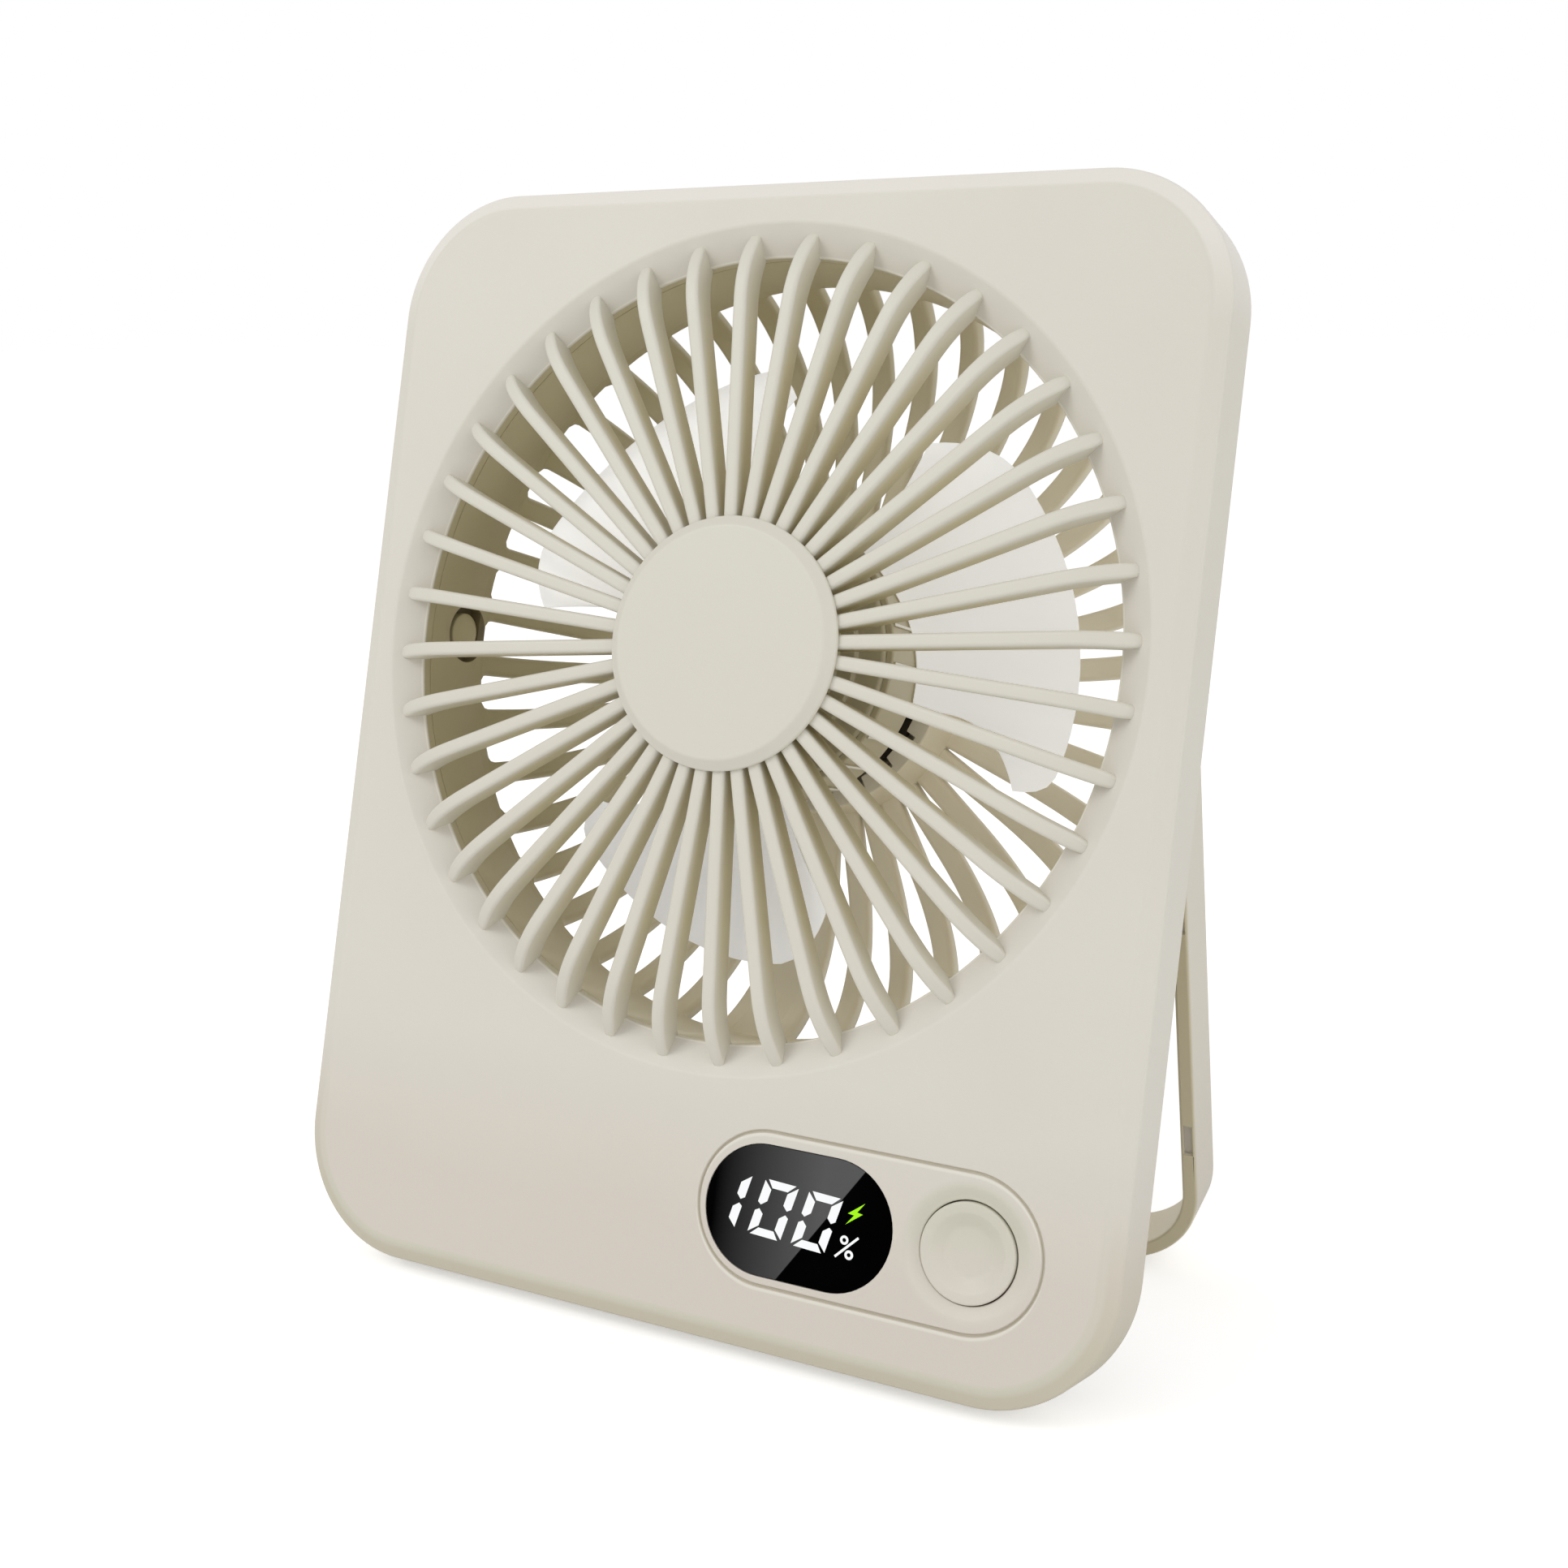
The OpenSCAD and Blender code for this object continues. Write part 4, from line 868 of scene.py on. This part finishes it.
blade = {"count": 3, "root": 17.2, "tip": 38.3, "lead": -16.3, "rise": 4.6, "sweep": 7, "rootEnd": 46.5,
         "tipEnd": 53.5, "leadDepth": 15.2, "trailDepth": 5.8, "camber": 3, "thickness": 1.1,
         "leadRounding": 4.2, "trailRounding": 5.5, "rootTwist": 0.8}


def bladePoint(s, t):
    # s runs from the root to the tip, t from the leading to the trailing edge
    wave = math.sin(math.pi * t)
    end = blade["tip"] - blade["leadRounding"] * max(0, 1 - t / 0.1) ** 3 \
        - blade["trailRounding"] * max(0, (t - 0.8) / 0.2) ** 1.8
    r = blade["root"] + s * (end - blade["root"])
    first = blade["lead"] + blade["rise"] * math.sin(math.pi * s) - blade["sweep"] * s ** 2.6
    last = blade["rootEnd"] + s * (blade["tipEnd"] - blade["rootEnd"])
    a = -math.radians(first + t * (last - first))
    depth = blade["leadDepth"] + t * (blade["trailDepth"] - blade["leadDepth"]) \
        + blade["camber"] * wave * (0.5 + 0.5 * s) - blade["rootTwist"] * (1 - s) * (1 - t)
    return r * math.cos(a), r * math.sin(a), depth


def buildBlades():
    form = Form()
    rows, columns = 14, 28
    half = blade["thickness"] / 2
    sides = []
    for side in (-1, 1):
        grid = []
        for i in range(rows + 1):
            s = i / rows
            line = []
            for j in range(columns + 1):
                t = 0.5 - 0.5 * math.cos(math.pi * j / columns)
                # rounded off along every edge but the root's
                edge = min(1, 8 * min(t, 1 - t, (1 - s) * 0.6))
                thin = math.sqrt(max(0, 1 - (1 - edge) ** 2)) * 0.86 + 0.14
                x, y, z = bladePoint(s, t)
                line.append((x, y, z + side * half * thin * (1.25 - 0.35 * s)))
            grid.append(form.ring(line))
        sides.append(grid)
        form.bridgeAll(grid, closed=False)
    edges = [[grid[0], grid[-1], [row[0] for row in grid], [row[-1] for row in grid]] for grid in sides]
    for near, far in zip(*edges):
        form.bridge(near, far, closed=False)
    return repeatedRound("blades", form, 60, blade["count"], 0, bladePlastic, False)


hub = {"radius": 17, "depth": 5, "back": 14.5, "shoulder": 0.6, "faceRadius": 13.4, "wall": 1.35, "floor": 2,
       "sleeveRadius": 17.9, "sleeveWall": 0.85, "sleeveFrom": 6, "sleeveTo": 14.1,
       "bars": 24, "barLength": 7.4, "barHalfWidth": 0.22}


def buildSleeve():
    form = Form()
    outer, near, far = hub["sleeveRadius"], hub["sleeveFrom"], hub["sleeveTo"]
    inner = outer - hub["sleeveWall"]
    rings = turned(form, soften([(inner, near), (outer, near, 0.3), (outer, far, 0.3), (inner, far)], 3))
    form.bridge(rings[-1], rings[0])
    sleeve = pieceOf("sleeve", form, bladePlastic)
    bar = Form()
    wide, middle = hub["barHalfWidth"], (near + far) / 2
    bar.close([bar.ring([(outer + out, a, middle + b) for a, b in roundedLoop(half, hub["barLength"] / 2, 0.1)])
               for out, half in ((-0.1, wide), (0.15, wide), (0.22, wide - 0.07))])
    return joined("panelledSleeve", [sleeve, repeatedRound("bars", bar, 40, hub["bars"], 0, bladePlastic)])


def buildHub():
    r, depth, back, face = hub["radius"], hub["depth"], hub["back"], hub["faceRadius"]
    inner, floor, step = r - hub["wall"], depth + hub["floor"], depth + hub["shoulder"]
    return turnedPiece("impellerHub", [
        (0, depth), (face, depth, 0.3), (face, step, 0.2), (r, step, 0.6), (r, back, 0.2), (inner, back),
        (inner, floor), (0, floor)], hubPlastic)


rides(joined("impellerBlades", [buildBlades(), buildSleeve()]), "impeller", "blade_plastic", "impeller_blades")
rides(buildHub(), "impeller", "hub_plastic", "impeller_hub")
print("impeller made")


def buildSpokes(name, count, firstAngle, width, flare, swell=0.0):
    form = Form()
    arc, flat, thick = dome["arcRadius"], dome["flatRadius"], dome["thickness"]
    pitch = 2 * math.pi * fan["ductRadius"] / dome["spokes"]
    first = math.asin((dome["rimDepth"] - dome["arcDepth"]) / arc)
    gap = min(1.2, (pitch - width) / 2)
    angles = [first - math.radians(4), first - math.radians(0.01)]
    angles += [first + (math.pi / 2 - first) * (k / 22) ** 1.25 for k in range(1, 23)]
    stations = []
    for a in angles:
        # the spokes spread where they leave the rim
        travelled = max(0, a - first) * arc
        spread = gap - math.sqrt(max(0, gap * gap - (gap - travelled) ** 2)) if flare and travelled < gap else 0
        stations.append((flat, 0, (math.cos(a), math.sin(a)), width / 2 + spread))
    stations += [(r, drop, (0, 1), width / 2) for r, drop in ((24, 0), (19.2, 0), (18.2, 0.07))]
    rings = []
    for r, drop, way, half in stations:
        loop = []
        for a, b in roundedLoop(half, thick / 2, 0.7):
            out = arc + thick / 2 + b + (swell if b > 0 else -swell)
            loop.append((min(r + way[0] * out, dome["rimRadius"] - 0.05), a, dome["arcDepth"] - drop + way[1] * out))
        rings.append(form.ring(loop))
    form.close(rings)
    return repeatedRound(name, form, 50, count, firstAngle, rearPlastic)


def buildMotorCup():
    outer, depth, back = dome["cupRadius"], dome["cupDepth"], dome["backDepth"]
    inner, slotOuter, slotFloor = outer - dome["cupWall"], outer - dome["slotLip"], depth + dome["slotDepth"]
    floor = back - dome["thickness"]
    cup = turnedPiece("cup", [
        (0, floor), (inner, floor), (inner, slotFloor, 0.1), (slotOuter, slotFloor), (slotOuter, depth, 0.1),
        (outer, depth, 0.3), (outer, back, 0.5), (0, back)], rearPlastic)
    tooth = Form()
    wide = (2 * math.pi * (inner + 0.6) / dome["slots"] - dome["slotWidth"]) / 2
    tall = dome["slotDepth"] / 2 + 0.1
    tooth.close([tooth.ring([(r, a, depth + tall + b)
                             for a, b in roundedLoop(wide + (r - inner) * 0.13, tall, 0.15)])
                 for r in (inner, slotOuter + 0.1)])
    return joined("motorCup", [
        cup, repeatedRound("teeth", tooth, 40, dome["slots"], dome["firstTooth"], rearPlastic)])


def buildDomeRim():
    form = Form()
    inner, outer, near, far = fan["ductRadius"], dome["rimRadius"], dome["rimFrom"], dome["rimDepth"] + 0.05
    rings = turned(form, soften([(inner, near), (outer, near, 0.2), (outer, far, 0.5), (inner, far, 0.3)], 3, True),
                   steps=160)
    form.bridge(rings[-1], rings[0])
    return pieceOf("rim", form, rearPlastic)


rides(joined("rearGrille", [
    buildSpokes("spokes", dome["spokes"], dome["phase"], dome["width"], True),
    buildSpokes("channel", 1, dome["channelAngle"], dome["channelWidth"], False, dome["channelSwell"]),
    buildMotorCup(), buildDomeRim()]), "root", "rear_plastic", "rear_grille")
print("rear grille made")


stand = {"halfWidth": 53, "thickness": 2, "band": 7.4, "corner": 12.5, "reach": 79.9, "edge": 0.4,
         "pockets": (18.4, 50), "pocketLength": 4.2, "pocketWidth": 1.2, "pocketIn": 0.4, "pocketDepth": 0.7,
         "stripLength": 60, "stripWidth": 4, "stripDepth": 0.8}


def bandLoop(wide, pocket, strip):
    # one cross-section of the band: a is the depth, b the distance outwards from the inner face;
    # the front and the outer face can be pushed in to form a pocket or the strip's recess
    thick = stand["thickness"]
    edge = min(stand["edge"], 0.95 * wide)

    def corner(a, b, first):
        turns = [math.radians(first + 30 * k) for k in range(4)]
        return [(a + edge * math.cos(turn), b + edge * math.sin(turn)) for turn in turns]

    low = stand["pocketIn"]
    high = low + stand["pocketWidth"]
    soft = min(pocket, 0.12)
    half = min(stand["stripWidth"] / 2, wide - edge)
    return (corner(wide - edge, thick - edge, 0)
            + [(half, thick), (half, thick - strip), (-half, thick - strip), (-half, thick)]
            + corner(edge - wide, thick - edge, 90)
            + [(-wide, high + 0.08), (-wide + soft, high), (-wide + pocket, high - 0.02),
               (-wide + pocket, low + 0.02), (-wide + soft, low), (-wide, low - 0.08)]
            + corner(edge - wide, edge, 180) + corner(wide - edge, edge, 270))


def buildStand():
    # stations along the band: (x, z, outwards in x and z, half width, pocket depth, strip depth),
    # from the left leg's round top to the middle of the crossbar, then mirrored
    form = Form()
    low = axisZ - stand["reach"]
    half, r, thick = stand["halfWidth"], stand["corner"], stand["thickness"]
    run = stand["stripLength"] / 2
    full = stand["band"] / 2
    rises = [full * math.sin(math.radians(a)) for a in (88, 80, 70, 60, 48, 36, 24, 12, 0)]
    stations = [(-half, axisZ + up, -1, 0, math.sqrt(max(0.02, full ** 2 - up * up)), 0, 0) for up in rises]
    reach = stand["pocketLength"] / 2
    for above in reversed(stand["pockets"]):
        for z, push in [(reach + 0.1, 0), (reach, 0.12), (reach - 0.02, 1), (0.02 - reach, 1), (-reach, 0.12),
                        (-reach - 0.1, 0)]:
            stations.append((-half, low + above + reach + z, -1, 0, full, min(push, stand["pocketDepth"]), 0))
    stations += [(x, z, nx, nz, full, 0, 0) for x, z, nx, nz in arcOutline(-half + r, low + r, r, 180, 270, 24)]
    stations += [(-run - 0.01, low, 0, -1, full, 0, 0), (-run, low, 0, -1, full, 0, stand["stripDepth"])]
    stations += [(-x, z, -nx, nz, *rest) for x, z, nx, nz, *rest in reversed(stations)]
    form.close([form.ring([(x + nx * (b - thick), fan["pivotDepth"] + a, z + nz * (b - thick))
                           for a, b in bandLoop(*rest)]) for x, z, nx, nz, *rest in stations])
    return pieceOf("stand", form, standPlastic, openedFrame, 50)


pin = {"radius": 2, "headRadius": 2.7, "headFrom": 47.4, "headTo": 49.15, "headFlat": 1.6, "headEdge": 0.75,
       "outerRadius": 2.6, "outerFrom": 53, "outerTo": 53.5}


def buildPins():
    pins = []
    first, flat, head, outer = pin["headFrom"], pin["headFlat"], pin["headRadius"], pin["outerRadius"]
    profile = soften([(0, first), (flat, first + 0.1, 1.6), (head, first + pin["headEdge"], 0.3),
                      (head, pin["headTo"]), (pin["radius"], pin["headTo"]), (pin["radius"], pin["outerFrom"]),
                      (outer, pin["outerFrom"]), (outer, pin["outerTo"], 0.25), (0, pin["outerTo"])])
    for turn in (-90, 90):
        form = Form()
        turned(form, profile, 0, 0, 64)
        place = openedFrame @ pivotPoint @ Matrix.Rotation(math.radians(turn), 4, "Z")
        pins.append(pieceOf("pin", form, pinPlastic, place))
    return joined("hingePins", pins)


rides(buildStand(), "stand", "stand_plastic", "stand")
rides(buildPins(), "stand", "stand_plastic", "hinge_pins")
print("stand made")


# the rear shell's edges: rounded by this much where they are steeper than sharpFrom
rear = {"softness": 0.45, "flatTo": 1, "sharpFrom": 35, "crease": 40}


def softened(node, finish):
    # a carried-over piece with its sharp edges rounded
    mesh = frame["nodes"][node].data.copy()
    merged(mesh, 1e-6, rear["flatTo"])
    piece = finished(linked(node.replace("_", "") + "Soft", mesh), finish, False)
    bevel = piece.modifiers.new("edges", "BEVEL")
    bevel.width = rear["softness"] * 0.001
    bevel.segments = 2
    bevel.limit_method = "ANGLE"
    bevel.angle_limit = math.radians(rear["sharpFrom"])
    settled(piece)
    smooth(piece.data, rear["crease"])
    return piece


rides(softened("rear_shell", rearPlastic), "root", "rear_plastic", "rear_shell")
print("rear shell made")

slotFinish = {
    "body_plastic": shellPlastic, "rear_plastic": rearPlastic, "hub_plastic": hubPlastic,
    "blade_plastic": bladePlastic, "window_plastic": windowGloss, "stand_plastic": standPlastic,
    "black_plastic": plainPart("blackPlastic", (28, 28, 30), (38, 38, 40), 0.5),
    "circuit_board": plainPart("boardGreen", (25, 88, 48), (36, 110, 62), 0.35),
    "cell_wrap": plainPart("cellWrap", (40, 92, 160), (52, 108, 178), 0.28, scale=300),
    "steel": plainPart("steelBright", (186, 188, 192), (170, 172, 176), 0.3, 1.0, 1400),
    "rotor_steel": plainPart("steelRotor", (150, 152, 156), (134, 136, 140), 0.38, 1.0, 1200),
    "copper_wire": plainPart("copperWire", (186, 108, 58), (160, 88, 44), 0.35, 1.0, 1600),
    "brass_tube": plainPart("brassTube", (200, 166, 96), (184, 150, 84), 0.3, 1.0, 1500),
    "ferrite": plainPart("ferriteGrey", (46, 46, 48), (60, 60, 62), 0.6),
    "rubber": plainPart("rubberGrey", (84, 82, 76), (70, 68, 63), 0.8),
}
nodeFinish = {part["node"]: slotFinish[part["material_slot"]] for part in frame["record"]["subparts"]}
nodeFinish["motor_board"] = plainPart("boardBlack", (74, 68, 54), (92, 85, 68), 0.5)
for nodeName, thing in frame["nodes"].items():
    finished(thing, nodeFinish[nodeName], False)
print("inner pieces finished")

# the floor reaches this far and glows for the camera, which also sees a brighter backdrop
room = {"floor": 9, "floorGlow": 0.42, "light": 0.64, "seenLight": 1.0}
lamps = {"key": {"place": (-0.55, -0.7, 0.75), "size": 0.5, "power": 3.5},
         "fill": {"place": (0.9, -0.25, 0.35), "size": 0.7, "power": 2.0}}


def buildRoom():
    form = Form()
    far = room["floor"]
    form.faces.append(form.ring([(-far, -far, 0), (far, -far, 0), (far, far, 0), (-far, far, 0)]))
    mesh = bpy.data.meshes.new("floor")
    mesh.from_pydata(form.points, [], form.faces)
    finish = Finish("paper", {"Roughness": 0.9, "Emission Color": (1, 1, 1, 1)})
    finish.set("Base Color", finish.mix(finish.noise(30), tint(245, 245, 245), tint(248, 248, 248)))
    rays = finish.node("ShaderNodeLightPath").socket.node
    finish.set("Emission Strength", Wire(finish, rays.outputs["Is Camera Ray"]) * room["floorGlow"])
    finished(linked("floor", mesh), finish.material, False)

    world = bpy.data.worlds.new("studio")
    world.use_nodes = True
    scene.world = world
    bench = Bench(world.node_tree)
    world.node_tree.nodes.clear()
    rays = bench.node("ShaderNodeLightPath").socket.node
    camera, transmission, glossy = [Wire(bench, rays.outputs["Is " + kind + " Ray"])
                                    for kind in ("Camera", "Transmission", "Glossy")]
    seen = bench.maths("MAXIMUM", bench.maths("MAXIMUM", camera, transmission), glossy)
    strength = room["light"] + seen * (room["seenLight"] - room["light"])
    glow = bench.node("ShaderNodeBackground", {}, {"Color": (1, 1, 1, 1), "Strength": strength})
    bench.feed(world.node_tree.nodes.new("ShaderNodeOutputWorld").inputs["Surface"], glow)


def softLamp(name, place, size, power, target=(0, 0, 0.07)):
    # a square lamp turned towards the fan
    lamp = bpy.data.lights.new(name, "AREA")
    lamp.size = size
    lamp.energy = power
    made = linked(name, lamp)
    made.location = place
    made.rotation_euler = (Vector(target) - Vector(place)).to_track_quat("-Z", "Y").to_euler()


# the camera's place in the fan's own coordinates, its angles and its lens
view = {"place": (116.0, -208.3, 64.35), "turn": 27.98, "down": 11.9, "tilt": -1.474, "lens": 45.36, "sensor": 36}


def buildCamera():
    lens = bpy.data.cameras.new("view")
    lens.lens = view["lens"]
    lens.sensor_width = view["sensor"]
    camera = linked("view", lens)
    tilt, turn, down = [Matrix.Rotation(math.radians(angle), 4, axis) for angle, axis in
                        ((view["tilt"], "X"), (view["turn"], "Z"), (90 - view["down"], "X"))]
    camera.matrix_world = Matrix.Translation(bodyFrame @ Vector(view["place"])) @ tilt @ turn @ down
    scene.camera = camera


buildRoom()
for lampName, settings in lamps.items():
    softLamp(lampName, **settings)
buildCamera()
scene.view_settings.view_transform = "Standard"
print("room, light and camera made")
